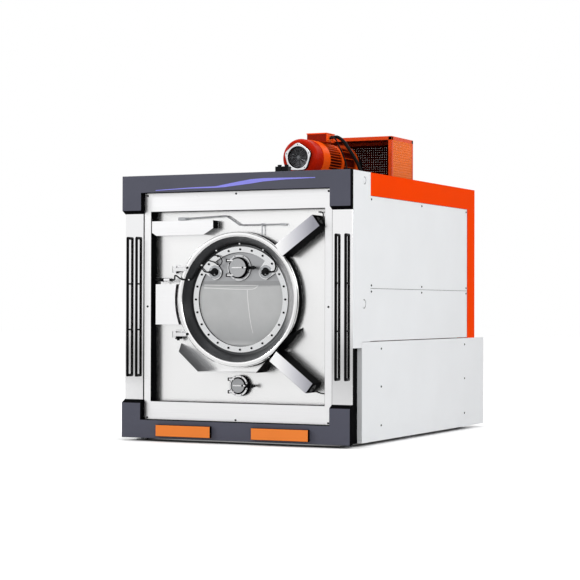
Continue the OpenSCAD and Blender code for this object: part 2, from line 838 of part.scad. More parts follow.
module hinge_arms() {
  color(stainless) for (up = hinge_ups) translate([-hinge_x, 0, axis_z + up]) {
    difference() {
      union() {
        translate([0, hinge_y, -18]) cylinder(r = hinge_r, h = 36);
        span([0, rim_y - 15, -17], [hinge_x - 556, rim_y, 17]);
      }
      translate([0, hinge_y, -20]) cylinder(r = hinge_pin_r, h = 40);
    }
    rod_y(hinge_x - 575, 0, 10, rim_y - 22, rim_y - 15);
  }
}

// Long cover at the upper left that carries the interlock's lead
module interlock_outline(t) {
  left = 7 - recess_x + t;
  top = recess_top - 96 - t;
  polygon([[left, top], [-258 - t, top], [-258 - t, 700 + t], [-363 - t, 640 + t],
    [left + 50, 634 + t], [left, 666 + t]]);
}

module interlock_cover() {
  y0 = fascia_d + 2;
  color(stainless) translate([0, 0, axis_z]) difference() {
    prism_y(y0, tub_y) interlock_outline(0);
    prism_y(y0 + sheet, tub_y + 1) interlock_outline(sheet);
  }
}

// Bent rod above the door with its bracket and sensor
module interlock_rod() {
  y = tub_y - 34;
  path = [[-690, 800], [-165, 823], [-148, 822], [-132, 814], [-14, 738], [0, 731], [16, 730],
    [500, 730]];
  color(stainless) translate([0, 0, axis_z]) {
    swept_tube([for (p = path) [p[0], y, p[1]]], 7, n = 12);
    span([-680, y - 16, 786], [-600, tub_y, 818]);
    span([238, y, 716], [256, tub_y, 744]);
    span([241, y - 4, rim_r + 8 - 44], [253, y + 4, 730]);
    span([440, y - 12, 720], [500, y + 12, 740]);
  }
}

// Plug joint of the lamp lead, fixed on the hinge box
module lead_connector() {
  box_top = axis_z + 151;
  color(dark_steel) {
    rod_x(80, 1606, 16, -872, -800);
    rod_x(80, 1606, 19, -800, -720);
    span([-850, rim_y + 1, box_top], [-830, rim_y + 20, 1606]);
    swept_tube(lead_in, 7);
    swept_tube(lead_hinge, 8);
  }
}

// Portholes: the sampling hatch in the door and the port in the tub's front

// Ring that a porthole's cover closes on, with hinge ears on its left and a boss on its right
module porthole_frame(r, back, depth) {
  front = back - depth;
  pin_y = front - 7;
  difference() {
    union() {
      rod_y(0, 0, r, back - 10, back);
      rod_y(0, 0, r * 0.82, front, back - 5);
      translate([r * 0.82 - 6, front, -12]) cube([r * 0.18 + latch_reach + 18, 16, 24]);
    }
    rod_y(0, 0, r * 0.62, front - 1, back + 1);
  }
  for (side = [-1, 1]) translate([-r, 0, side * r * hinge_spread]) {
    for (z = [8.3, -14.3]) translate([0, pin_y, z]) {
      cylinder(r = small_pin * 0.9, h = 6);
      translate([-small_pin * 0.9, 0, 0]) cube([small_pin * 1.8, back - pin_y, 6]);
    }
    translate([-small_pin * 0.9, back - 10, -15]) cube([r * 0.36, 10, 30]);
    translate([0, pin_y, -15]) cylinder(r = small_pin / 2 - run_gap, h = 30);
  }
}

// Cover with hinge knuckles, a cross bar and the latch's ear
module porthole_cover(r, back, depth) {
  front = back - depth;
  pin_y = front - 7;
  difference() {
    union() {
      rod_y(0, 0, r * 0.8, front - 12, front - seat_gap);
      for (side = [-1, 1]) translate([-r, 0, side * r * hinge_spread]) {
        translate([0, pin_y, -8]) cylinder(r = small_pin * 0.9, h = 16);
        translate([0, front - 16, -8]) cube([r * 0.62, 9, 16]);
      }
      translate([-r * 0.5, front - 18, -8]) cube([r * 1.3, 8, 16]);
      translate([r * 0.7, front - 12, -11]) cube([r * 0.3 + latch_reach + 14, 10, 22]);
    }
    for (side = [-1, 1]) translate([-r, pin_y, side * r * hinge_spread - 10])
      cylinder(r = small_pin / 2, h = 20);
    rod_y(r + latch_reach, 0, 6, front - 30, front + 1);
  }
}

module porthole_knob(r, back, depth) {
  front = back - depth;
  rod_y(r + latch_reach, 0, 6 - run_gap, front - 26, front - 1);
  translate([r + latch_reach, 0, 0]) rotate([90, 0, 0]) rotate_extrude($fn = 48)
    polygon([[0, 14 - front], [16, 14 - front], [18, 18 - front], [18, 34 - front],
      [14, 40 - front], [0, 42 - front]]);
}

hinge_spread = 0.6;
hatch_back = glass_y;
hatch_depth = 34;
port_depth = 56;

module port_frame() {
  color(stainless) translate([0, 0, port_z]) {
    porthole_frame(port_r, tub_y, port_depth);
    for (a = [30:60:330])
      rod_y(port_r * 0.91 * cos(a), port_r * 0.91 * sin(a), 5, tub_y - 14, tub_y - 10);
  }
}

module port_cover() {
  color(stainless) translate([0, 0, port_z]) porthole_cover(port_r, tub_y, port_depth);
}

module port_knob() {
  color(black_rubber) translate([0, 0, port_z]) porthole_knob(port_r, tub_y, port_depth);
}

module hatch_cover() {
  color(stainless) translate([-15, 0, axis_z + hatch_up])
    porthole_cover(hatch_r, hatch_back, hatch_depth);
}

module hatch_knob() {
  color(black_rubber) translate([-15, 0, axis_z + hatch_up])
    porthole_knob(hatch_r, hatch_back, hatch_depth);
}

// Door

// Pressed rim, cone and back flange in one section of [radius, depth]
module door_rim() {
  w = rim_wall;
  glass_back = glass_y + glass_t;
  color(stainless) revolve_y() polygon([[rim_r, rim_y + 14], [rim_r, rim_back],
    [rim_r - w, rim_back], [rim_r - w, rim_y + 16], [rim_r - w - 8, rim_y + w],
    [cone_front_r + 8, rim_y + w], [cone_back_r + w, glass_back - 4],
    [cone_back_r + w, glass_back + w], [ring_in_r + 14, glass_back + w],
    [ring_in_r + 14, glass_back], [cone_back_r, glass_back], [cone_back_r, glass_back - 6],
    [cone_front_r, rim_y + 5], [cone_front_r + 7, rim_y], [rim_r - 12, rim_y],
    [rim_r - 4, rim_y + 4]]);
}

module door_gasket() {
  color(black_rubber) revolve_y() polygon([[rim_r - 26, rim_back], [rim_r - 1, rim_back],
    [rim_r - 1, tub_y - seat_gap], [rim_r - 26, tub_y - seat_gap]]);
}

module glass_ring() {
  color(white_paint) translate([0, 0, axis_z]) prism_y(ring_y, glass_y) union() {
    difference() {
      circle(r = ring_r, $fn = 144);
      circle(r = ring_in_r, $fn = 144);
    }
    for (side = [-1, 1]) intersection() {
      translate([side * lamp_x, lamp_up]) rotate(atan2(lamp_up, side * lamp_x)) {
        circle(r = lobe_r);
        translate([0, -lobe_r]) square([ring_r, 2 * lobe_r]);
      }
      circle(r = ring_r - 2, $fn = 144);
    }
  }
}

module glass_ring_bolts() {
  color(dark_steel) for (k = [0:ring_bolts - 1]) {
    a = 90 + 360 * k / ring_bolts;
    rod_y(bolt_circle * cos(a), axis_z + bolt_circle * sin(a), 9, ring_y - 8, ring_y);
  }
}

module door_glass() {
  color(glass_tint) translate([0, 0, axis_z]) prism_y(glass_y, glass_y + glass_t)
    difference() {
      circle(r = ring_r - 6, $fn = 144);
      translate([-ring_r, plate_edge]) square([2 * ring_r, ring_r]);
    }
}

module hatch_plate() {
  color(stainless) translate([0, 0, axis_z]) {
    prism_y(glass_y, glass_y + glass_t) difference() {
      circle(r = ring_r - 6, $fn = 144);
      translate([-ring_r, plate_edge - 2 * ring_r]) square([2 * ring_r, 2 * ring_r]);
      translate([-15, hatch_up]) circle(r = hatch_r * 0.62);
    }
    translate([-15, 0, hatch_up])
      porthole_frame(hatch_r, hatch_back - seam, hatch_depth - seam);
  }
}

// Round lamp housings with their glands
module door_lamps() {
  color(dark_steel) for (side = [-1, 1]) translate([side * lamp_x, 0, axis_z + lamp_up]) {
    revolve_y(0, 0) polygon([[0, ring_y], [64, ring_y], [64, ring_y - 8], [46, ring_y - 12],
      [40, ring_y - 44], [34, ring_y - 52], [0, ring_y - 52]]);
    rod_x(ring_y - 32, 0, 10, min(0, side * 58), max(0, side * 58));
  }
}

module door_cable() {
  color(black_rubber) {
    swept_tube(lead_door, 8);
    swept_tube(lead_left_lamp, 6);
  }
}

// Drum and its bearings

drum_panels = 9;
module drum_shell() {
  front_hem = 4;
  panel_y = drum_y + 6 + seam;
  panel_end = drum_back - 6 - seam;
  turn = 360 / drum_panels;
  color(stainless) {
    difference() {
      union() {
        revolve_y() translate([drum_r - drum_wall, panel_y]) square([drum_wall,
          panel_end - panel_y]);
        revolve_y() polygon([[drum_r, drum_y], [drum_r, drum_y + 6],
          [drum_mouth_r, drum_y + 6], [drum_mouth_r, drum_y - front_hem],
          [drum_mouth_r + 6, drum_y - front_hem], [drum_mouth_r + 6, drum_y]]);
      }
      plate_seams(drum_panels, turn / 2, drum_mouth_r - 10, drum_r + 10, drum_y - 4, panel_end);
      for (row = [1:hole_rows], k = [0:drum_panels * panel_holes - 1])
        translate([0, drum_y + row * drum_len / (hole_rows + 1), axis_z])
          rotate([0, turn / 2 + (k + 0.5) * turn / panel_holes, 0])
          translate([0, 0, drum_r - 20]) cylinder(r = 12, h = 40, $fn = 24);
    }
    revolve_y() translate([shaft_r, drum_back - 6]) square([drum_r - shaft_r, 6]);
  }
}

// Three radial walls that divide the drum into pockets
module drum_partitions() {
  color(stainless) for (a = [-90, 30, 150]) translate([0, 0, axis_z])
    rotate([0, -a, 0]) {
      span([10, drum_y + 12, -4], [drum_r - drum_wall - 0.4, drum_back - 6, 4]);
      span([10, drum_y + 12, -9], [drum_r - drum_wall - 4, drum_y + 30, 9]);
    }
}

module drum_shaft() {
  bore = shaft_r + run_gap;
  color(dark_steel) {
    revolve_y() polygon([[0, drum_back - 6], [shaft_r, drum_back - 6], [shaft_r, shaft_end],
      [shaft_r - 4, shaft_end + 4], [0, shaft_end + 4]]);
    revolve_y() polygon([[bore, drum_back], [360, drum_back], [360, drum_back + 24],
      [shaft_r + 50, drum_back + 60], [shaft_r + 8, drum_back + 130],
      [bore, drum_back + 130]]);
  }
}

module bearing_housing() {
  color(dark_steel) {
    revolve_y() polygon([[bearing_r, housing_y], [bearing_r + 190, housing_y],
      [bearing_r + 190, housing_y + 25], [bearing_r + 40, housing_y + 25],
      [bearing_r + 40, housing_end], [bearing_r, housing_end]]);
    for (a = [0:60:359]) translate([0, housing_y + 25, axis_z]) rotate([0, a, 0])
      translate([0, 0, -8]) rotate([0, 0, 0]) linear_extrude(16)
        polygon([[bearing_r + 38, 0], [bearing_r + 180, 0], [bearing_r + 38, 300]]);
  }
}

module drum_bearings() {
  color(stainless) for (y = [housing_y + 40, housing_end - 20 - bearing_w])
    revolve_y() polygon([[shaft_r + run_gap, y], [bearing_r, y], [bearing_r, y + bearing_w],
      [shaft_r + run_gap, y + bearing_w]]);
}

// Belt drive

// Half section of a grooved pulley rim, as [radius, depth]
function groove_profile(r) = [for (i = [0:belts - 1]) each
  let (y = pulley_y + 5 + (i + 0.5) * belt_pitch, g = groove_w / 2)
  [[r, y - g], [r - groove_depth, y - g], [r - groove_depth, y + g], [r, y + g]]];

module big_pulley() {
  web = pulley_y + pulley_w / 2 - 15;
  difference() {
    revolve_y() polygon(concat(
      [[shaft_r + run_gap, pulley_y], [shaft_r + 50, pulley_y], [shaft_r + 50, web],
        [big_pulley_r - 50, web], [big_pulley_r - 40, pulley_y], [big_pulley_r, pulley_y]],
      groove_profile(big_pulley_r),
      [[big_pulley_r, pulley_y + pulley_w], [big_pulley_r - 40, pulley_y + pulley_w],
        [big_pulley_r - 50, web + 30], [shaft_r + 50, web + 30],
        [shaft_r + 50, pulley_y + pulley_w], [shaft_r + run_gap, pulley_y + pulley_w]]));
    for (a = [30:60:330])
      rod_y(300 * cos(a), axis_z + 300 * sin(a), 80, pulley_y, pulley_y + pulley_w);
  }
}

module small_pulley() {
  revolve_y(0, motor_z) polygon(concat(
    [[0, pulley_y], [small_pulley_r, pulley_y]], groove_profile(small_pulley_r),
    [[small_pulley_r, pulley_y + pulley_w], [70, pulley_y + pulley_w],
      [60, pulley_y + pulley_w - 20], [0, pulley_y + pulley_w - 20]]));
}

// Outline of a belt loop about both pulleys, whose radii are drawn in by inset
module belt_loop(inset) {
  r1 = big_pulley_r - inset;
  r2 = small_pulley_r - inset;
  apart = motor_z - axis_z;
  tilt = asin((r1 - r2) / apart);
  circle(r = r1, $fn = 180);
  translate([0, apart]) circle(r = r2, $fn = 180);
  polygon([[r1 * cos(tilt), r1 * sin(tilt)], [r2 * cos(tilt), apart + r2 * sin(tilt)],
    [-r2 * cos(tilt), apart + r2 * sin(tilt)], [-r1 * cos(tilt), r1 * sin(tilt)]]);
}

module drive_belts() {
  color(black_rubber) translate([0, 0, axis_z]) for (i = [0:belts - 1]) {
    y = pulley_y + 5 + (i + 0.5) * belt_pitch;
    prism_y(y - belt_w / 2, y + belt_w / 2) difference() {
      belt_loop(groove_depth - 0.4 - belt_t);
      belt_loop(groove_depth - 0.4);
    }
  }
}

// Motor

module fin_star(r0, r1, count, t) {
  circle(r = r0);
  for (k = [0:count - 1]) rotate((k + 0.5) * 360 / count) translate([0, -t / 2]) square([r1, t]);
}

module motor_body() {
  stator_r = 165;
  lantern_y = stator_end + 60;
  color(orange) difference() {
    union() {
      translate([0, 0, motor_z]) {
        prism_y(stator_y, stator_end) fin_star(stator_r, cowl_r, fins, 5);
        prism_y(lantern_y + seam, flange_y - seam) fin_star(stator_r - 25, cowl_r - 20, 12, 9);
      }
      rod_y(0, motor_z, cowl_r + 5, motor_y + cowl_len, stator_y - seam);
      rod_y(0, motor_z, cowl_r - 4, stator_end + seam, lantern_y);
      rod_y(0, motor_z, cowl_r + 15, flange_y, flange_y + 30);
      span([-60, stator_y + 60, motor_z], [60, stator_y + 180, box_seat_z]);
      for (y = [stator_y + 20, stator_end - 100])
        prism_y(y, y + 80) polygon([[-195, motor_foot_z], [195, motor_foot_z],
          [195, motor_foot_z + 22], [150, motor_foot_z + 60], [120, motor_z - 60],
          [-120, motor_z - 60], [-150, motor_foot_z + 60], [-195, motor_foot_z + 22]]);
    }
    span([-88, stator_y + 18, box_seat_z], [148, stator_y + 232, motor_z + cowl_r + 1]);
    rod_y(0, motor_z, motor_shaft_r + run_gap, stator_end, flange_y + 31);
  }
}

// Fan cowl with a rounded front edge, the ring of its fan unit and the grille
module motor_cowl() {
  bend = 45;
  wall = 4;
  grille_r = 116;
  ring_out = 32;
  color(orange) {
    revolve_y(0, motor_z) difference() {
      union() {
        translate([0, motor_y + bend]) square([cowl_r, cowl_len - bend]);
        translate([0, motor_y]) square([cowl_r - bend, bend + 1]);
        translate([cowl_r - bend, motor_y + bend]) circle(r = bend, $fn = 48);
      }
      translate([-bend, motor_y - 1]) square([bend, cowl_len + 2]);
      translate([-1, motor_y + wall]) square([cowl_r - bend + 1, cowl_len]);
      translate([-1, motor_y + bend]) square([cowl_r + 1 - wall, cowl_len]);
      translate([cowl_r - bend, motor_y + bend]) circle(r = bend - wall, $fn = 48);
      translate([-1, motor_y - 1]) square([grille_r + 1, wall + 2]);
    }
    translate([0, 0, motor_z]) prism_y(motor_y - ring_out, motor_y) difference() {
      union() {
        circle(r = 136);
        for (k = [0:4]) rotate(90 + 72 * k) translate([118, 0]) circle(r = 32, $fn = 32);
      }
      circle(r = grille_r);
    }
    translate([0, 0, motor_z]) prism_y(motor_y - 12, motor_y - 8) {
      for (r = [30:22:grille_r - 4]) difference() {
        circle(r = r + 2);
        circle(r = r - 2);
      }
      for (a = [0:60:359]) rotate(a) translate([0, -2.5]) square([grille_r + 2, 5]);
    }
  }
}

module terminal_box() {
  color(orange) {
    span([-85, stator_y + 20, box_seat_z], [145, stator_y + 230, box_seat_z + 84]);
    span([-90, stator_y + 15, box_seat_z + 84], [150, stator_y + 235, box_seat_z + 96]);
  }
  color(dark_steel) for (p = [[motor_hose[0], 20], [motor_lead[0], 12]])
    rod_x(p[0][1], p[0][2], p[1], 145, p[0][0] - 0.4);
}

// Slide rails under the motor's feet with their tensioning screws
module motor_base() {
  color(dark_steel) for (y = [stator_y + 20, stator_end - 100]) {
    difference() {
      span([-260, y, deck_top], [260, y + 80, motor_foot_z]);
      span([-240, y + 28, deck_top + 12], [240, y + 52, motor_foot_z + 1]);
    }
    rod_x(y + 40, motor_foot_z - 30, 10, -330, -230);
    rod_x(y + 40, motor_foot_z - 30, 18, -330, -316);
  }
}

module motor_cables() {
  color(black_rubber) {
    swept_tube(motor_hose, 18, n = 10);
    swept_tube(motor_lead, 8);
  }
}

// Square perforations that fill a panel inside its border
module mesh(w, h, border) {
  nx = floor((w - 2 * border) / mesh_pitch);
  nz = floor((h - 2 * border) / mesh_pitch);
  for (i = [0:nx - 1], k = [0:nz - 1])
    translate([w / 2 + (i - (nx - 1) / 2) * mesh_pitch, h / 2 + (k - (nz - 1) / 2) * mesh_pitch])
      square(mesh_pitch * 0.7, center = true);
}

// Guard over the motor pulley: angle frame, solid roof, three perforated walls, open front
module belt_guard() {
  h = guard_top - deck_top;
  w = guard_left + guard_right;
  y1 = guard_y + guard_d;
  rail = 40;
  color(orange) difference() {
    union() {
      for (x = [-guard_left, guard_right - sheet]) difference() {
        span([x, guard_y, deck_top], [x + sheet, y1, guard_top]);
        translate([0, guard_y, deck_top]) prism_x(x - 1, x + sheet + 1)
          mesh(guard_d, h, rail);
      }
      difference() {
        span([-guard_left, y1 - sheet, deck_top], [guard_right, y1, guard_top]);
        translate([-guard_left, 0, deck_top]) prism_y(y1 - sheet - 1, y1 + 1) mesh(w, h, rail);
      }
      span([-guard_left, guard_y, guard_top - sheet], [guard_right, y1, guard_top]);
      for (x = [-guard_left, guard_right - rail], y = [guard_y, y1 - rail])
        span([x, y, deck_top], [x + rail, y + rail, guard_top]);
      span([-guard_left, guard_y, guard_top - rail], [guard_right, guard_y + 6, guard_top]);
      for (x = [-guard_left, guard_right - rail])
        span([x, guard_y, deck_top], [x + rail, y1, deck_top + 4]);
    }
    for (x = [-guard_left, guard_right - rail], y = [guard_y, y1 - rail])
      span([x == -guard_left ? x + 5 : x - 1, y == guard_y ? y + 5 : y - 1, deck_top + 4],
        [x == -guard_left ? x + rail + 1 : x + rail - 5,
          y == guard_y ? y + rail + 1 : y + rail - 5, guard_top - rail]);
  }
}

module motor_pulley() {
  color(dark_steel) {
    small_pulley();
    rod_y(0, motor_z, motor_shaft_r, stator_end + 20, pulley_y + 1);
  }
}

// Solenoid valves of the door clamps, behind the top band
module air_valves() {
  color(black_rubber) for (x = [405, 480]) {
    span([x, 110, deck_top], [x + 62, 180, frame_h + 56]);
    translate([x + 31, 145, frame_h + 56]) cylinder(r = 20, h = 18, $fn = 32);
  }
}

// The drum's shaft carries the big pulley
module drum_shaft_set() {
  drum_shaft();
  color(dark_steel) big_pulley();
}

module place() translate([0, -mid_y, 0]) children();

place() base_frame();
place() levelling_feet();
place() front_portal();
place() lower_fascia();
place() upper_fascia();
place() fork_pocket_covers();
place() column_covers();
place() rub_rails();
place() front_surround();
place() corner_claddings();
place() rear_frame();
place() upper_side_panels();
place() lower_side_panels();
place() side_box_left();
place() side_box_right();
place() rear_panels();
place() top_deck();
place() panel_screws();
place() tub_front_plate();
place() tub_shell();
place() drip_tray();
place() hinge_box();
place() hinge_brackets();
place() interlock_cover();
place() interlock_rod();
place() clamp_covers();
place() clamp_cylinders();
place() clamp_hoses();
place() lead_connector();
place() port_frame();
place() drain_pipe();
place() bearing_housing();
place() drum_bearings();
place() motor_body();
place() motor_cowl();
place() terminal_box();
place() motor_base();
place() motor_cables();
place() belt_guard();
place() drive_belts();
place() air_valves();
place() door_rim();
place() door_gasket();
place() glass_ring();
place() glass_ring_bolts();
place() door_glass();
place() hatch_plate();
place() door_lamps();
place() hinge_arms();
place() door_cable();
place() hatch_cover();
place() hatch_knob();
place() port_cover();
place() port_knob();
place() clamp_pad_upper();
place() clamp_pad_lower();
place() drum_shell();
place() drum_partitions();
place() drum_shaft_set();  // drum_shaft
place() motor_pulley();
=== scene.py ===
import math
import bmesh
import bpy
from mathutils import Matrix, Vector


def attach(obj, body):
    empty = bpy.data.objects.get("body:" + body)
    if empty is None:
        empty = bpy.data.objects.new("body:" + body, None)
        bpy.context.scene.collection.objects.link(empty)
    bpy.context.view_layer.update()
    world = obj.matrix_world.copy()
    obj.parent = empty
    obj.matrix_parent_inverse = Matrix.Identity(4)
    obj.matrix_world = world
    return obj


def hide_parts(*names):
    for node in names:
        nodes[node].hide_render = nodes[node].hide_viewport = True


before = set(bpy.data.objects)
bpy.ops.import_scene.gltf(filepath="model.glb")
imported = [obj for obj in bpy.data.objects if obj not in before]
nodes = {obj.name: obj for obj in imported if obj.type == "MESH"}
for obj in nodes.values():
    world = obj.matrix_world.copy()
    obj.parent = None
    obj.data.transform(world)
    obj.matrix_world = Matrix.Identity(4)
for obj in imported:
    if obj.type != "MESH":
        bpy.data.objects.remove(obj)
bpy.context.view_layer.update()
midY = 1.85   # the record's origin lies this far behind the front faces
axisMm, motorMm = 1411, 2906   # heights of the door's and the drum's axis, and of the motor's
hatchAt, portAt = (-15, 1722), (0, 566)   # middles of the two portholes, across and up
print("frame loaded")


# sRGB hex to linear, with a share of it for the darker tones of a surface
def toLinear(hexValue, share=1.0):
    channels = [int(hexValue[i:i + 2], 16) / 255 for i in (1, 3, 5)]
    linear = [c / 12.92 if c <= 0.04045 else ((c + 0.055) / 1.055) ** 2.4 for c in channels]
    return tuple(c * share for c in linear) + (1.0,)


# a node with its settings, inputs and ramp stops; a node given as an input links its first output
def addNode(tree, kind, inputs=None, stops=(), **settings):
    node = tree.nodes.new(kind)
    for name, value in settings.items():
        setattr(node, name, value)
    for name, value in (inputs or {}).items():
        if isinstance(value, bpy.types.Node):
            value = value.outputs[0]
        if isinstance(value, bpy.types.NodeSocket):
            tree.links.new(value, node.inputs[name])
        else:
            node.inputs[name].default_value = value
    if stops:
        elements = node.color_ramp.elements
        while len(elements) < len(stops):
            elements.new(0.5)
        for element, (at, colour) in zip(elements, stops):
            element.position = at
            element.color = toLinear(colour) if isinstance(colour, str) else colour
    return node


def startMaterial(name):
    material = bpy.data.materials.new(name)
    material.use_nodes = True
    tree = material.node_tree
    tree.nodes.clear()
    return material, tree, addNode(tree, "ShaderNodeTexCoord").outputs["Object"]


def endMaterial(tree, shader):
    addNode(tree, "ShaderNodeOutputMaterial", {"Surface": shader})


# the last nodes of a surface: its shader, with edges rounded to a radius and a relief of strength, depth and pattern
def endSurface(tree, inputs, bend=None, relief=None):
    if bend is not None:
        inputs["Normal"] = addNode(tree, "ShaderNodeBevel", {"Radius": bend}, samples=4)
    if relief:
        strength, depth, pattern = relief
        inputs["Normal"] = addNode(tree, "ShaderNodeBump", {"Strength": strength, "Distance": depth, "Height": pattern,
                                                            "Normal": inputs["Normal"]})
    endMaterial(tree, addNode(tree, "ShaderNodeBsdfPrincipled", inputs))


# Brushed stainless sheet: long fine streaks that spread the highlights across the grain
def brushedStainless(name, tone, grain, rough=(0.26, 0.32), bend=0.0012, depth=0.04, relief=0.04):
    material, tree, place = startMaterial(name)
    # the streaks are about 1 mm apart on the real sheet, drawn 3 mm apart so that they show
    across, lengthwise = 1 / 0.003, 1 / 0.9
    scale = [lengthwise if axis == grain else across for axis in "xyz"]
    streaks = addNode(tree, "ShaderNodeMapping", {"Vector": place, "Scale": scale})
    lines = addNode(tree, "ShaderNodeTexNoise", {"Vector": streaks, "Scale": 1.0, "Detail": 3.0,
                                                 "Roughness": 0.6}).outputs["Fac"]
    clouds = addNode(tree, "ShaderNodeTexNoise", {"Vector": place, "Scale": 2.2, "Detail": 2.0}).outputs["Fac"]
    colour = addNode(tree, "ShaderNodeValToRGB", {"Fac": lines}, [(0.3, toLinear(tone, 1 - depth)), (0.7, tone)])
    level = addNode(tree, "ShaderNodeMapRange", {"Value": lines, "From Min": 0.3, "From Max": 0.7,
                                                 "To Min": rough[0], "To Max": rough[1]})
    smear = addNode(tree, "ShaderNodeMapRange", {"Value": clouds, "From Min": 0.3, "From Max": 0.7,
                                                 "To Min": 0.0, "To Max": 0.03})
    total = addNode(tree, "ShaderNodeMath", {0: level, 1: smear}, operation="ADD")
    endSurface(tree, {"Base Color": colour, "Metallic": 1.0, "Roughness": total}, bend, (relief, 0.0004, lines))
    return material


# Powder coat: a cured skin with a faint orange peel, so its highlights are soft and slightly broken
def powderCoat(name, tone, rough=0.42, wear=0.10, bend=0.002, peel=0.10, gloss=0.3):
    material, tree, place = startMaterial(name)
    skin = addNode(tree, "ShaderNodeTexNoise", {"Vector": place, "Scale": 1 / 0.006, "Detail": 2.0}).outputs["Fac"]
    clouds = addNode(tree, "ShaderNodeTexNoise", {"Vector": place, "Scale": 1.6, "Detail": 4.0,
                                                  "Roughness": 0.55}).outputs["Fac"]
    colour = addNode(tree, "ShaderNodeValToRGB", {"Fac": clouds}, [(0.35, toLinear(tone, 1 - wear)), (0.65, tone)])
    level = addNode(tree, "ShaderNodeMapRange", {"Value": clouds, "From Min": 0.3, "From Max": 0.7,
                                                 "To Min": rough - 0.05, "To Max": rough + 0.06})
    endSurface(tree, {"Base Color": colour, "Roughness": level, "IOR": 1.5, "Specular IOR Level": gloss}, bend,
               (peel, 0.0006, skin))
    return material


# Polished stainless: turned and buffed, so it mirrors softly with a few fine rings about a point in millimetres
def polishedStainless(name, tone, rough=0.14, rings=None, spacing=26.0, depth=0.1):
    material, tree, place = startMaterial(name)
    if rings:
        middle = (-rings[0] / 1000, 0, -rings[1] / 1000)
        centred = addNode(tree, "ShaderNodeMapping", {"Vector": place, "Location": middle})
        pattern = addNode(tree, "ShaderNodeTexWave", {"Vector": centred, "Scale": spacing, "Distortion": 0.6,
                                                      "Detail": 2.0}, wave_type="RINGS", rings_direction="Y")
    else:
        pattern = addNode(tree, "ShaderNodeTexNoise", {"Vector": place, "Scale": 60.0, "Detail": 3.0})
    pattern = pattern.outputs["Fac"]
    colour = addNode(tree, "ShaderNodeValToRGB", {"Fac": pattern}, [(0.2, toLinear(tone, 1 - depth)), (0.8, tone)])
    level = addNode(tree, "ShaderNodeMapRange", {"Value": pattern, "To Min": rough, "To Max": rough + 0.07})
    endSurface(tree, {"Base Color": colour, "Metallic": 1.0, "Roughness": level}, 0.0015)
    return material


# Turned dish of the door, with fine tool rings: painted shade darkens it at the hinge side and a painted reflection
# lightens it towards the clamps
def turnedDish(name):
    material, tree, place = startMaterial(name)
    centred = addNode(tree, "ShaderNodeMapping", {"Vector": place, "Location": (0, 0, -axisMm / 1000)})
    pattern = addNode(tree, "ShaderNodeTexWave", {"Vector": centred, "Scale": 40.0, "Distortion": 0.4, "Detail": 2.0},
                      wave_type="RINGS", rings_direction="Y").outputs["Fac"]
    parts = addNode(tree, "ShaderNodeSeparateXYZ", {"Vector": centred})
    lean = addNode(tree, "ShaderNodeMath", {0: parts.outputs["Z"], 1: 0.12, 2: parts.outputs["X"]},
                   operation="MULTIPLY_ADD")
    shadeSide = addNode(tree, "ShaderNodeMapRange", {"Value": lean, "From Min": -0.6, "From Max": 0.6})
    # painted shade on the hinge side and a painted reflection towards the clamps, along a line leaning across the dish
    paintedShadeAndReflection = addNode(tree, "ShaderNodeValToRGB", {"Fac": shadeSide},
                    [(0.0, "#2d2e2f"), (0.11, "#3f4042"), (0.19, "#4e4f51"), (0.44, "#555658"), (0.56, "#6a6b6c"),
                     (0.86, "#959698"), (0.93, "#e4e4e5")])
    tool = addNode(tree, "ShaderNodeMapRange", {"Value": pattern, "To Min": 0.90, "To Max": 1.0})
    colour = addNode(tree, "ShaderNodeVectorMath", {0: paintedShadeAndReflection, "Scale": tool}, operation="SCALE")
    level = addNode(tree, "ShaderNodeMapRange", {"Value": pattern, "To Min": 0.26, "To Max": 0.34})
    endSurface(tree, {"Base Color": colour, "Metallic": 0.5, "Roughness": level, "IOR": 1.5,
                      "Specular IOR Level": 0.2})
    return material


# Clamp covers: brushed along their length, with painted shade that turns them from bright at the door to grey towards
# their outer ends
def shadedCover(name):
    material, tree, place = startMaterial(name)
    parts = addNode(tree, "ShaderNodeSeparateXYZ", {"Vector": place})
    away = addNode(tree, "ShaderNodeMapRange", {"Value": parts.outputs["X"], "From Min": 0.50, "From Max": 0.90})
    fine = addNode(tree, "ShaderNodeTexNoise", {"Vector": place, "Scale": 120.0, "Detail": 3.0}).outputs["Fac"]
    mixed = addNode(tree, "ShaderNodeMath", {0: fine, 1: 0.12, 2: away}, operation="MULTIPLY_ADD")
    # white at the door to grey at the outer end: painted shade
    colour = addNode(tree, "ShaderNodeValToRGB", {"Fac": mixed},
                     [(0.05, "#ffffff"), (0.5, "#d4d4da"), (1.0, "#9a9aa3")])
    level = addNode(tree, "ShaderNodeMapRange", {"Value": fine, "To Min": 0.26, "To Max": 0.42})
    endSurface(tree, {"Base Color": colour, "Metallic": 1.0, "Roughness": level}, 0.0015)
    return material


# Enamel on a finned casting: bright on the fin tips and dark at their roots, painted shade between the fins
def finnedEnamel(name, tone, rootShadeTone):
    material, tree, place = startMaterial(name)
    centred = addNode(tree, "ShaderNodeMapping", {"Vector": place, "Location": (0, 0, -motorMm / 1000),
                                                  "Scale": (1, 0, 1)})
    away = addNode(tree, "ShaderNodeVectorMath", {0: centred}, operation="LENGTH").outputs["Value"]
    speck = addNode(tree, "ShaderNodeTexNoise", {"Vector": place, "Scale": 90.0, "Detail": 2.0}).outputs["Fac"]
    mixed = addNode(tree, "ShaderNodeMath", {0: speck, 1: 0.006, 2: away}, operation="MULTIPLY_ADD")
    tip = addNode(tree, "ShaderNodeMapRange", {"Value": mixed, "From Min": 0.168, "From Max": 0.206})
    colour = addNode(tree, "ShaderNodeValToRGB", {"Fac": tip}, [(0.0, rootShadeTone), (1.0, tone)])
    endSurface(tree, {"Base Color": colour, "Roughness": 0.36, "IOR": 1.5, "Specular IOR Level": 0.1}, 0.002,
               (0.2, 0.0006, speck))
    return material


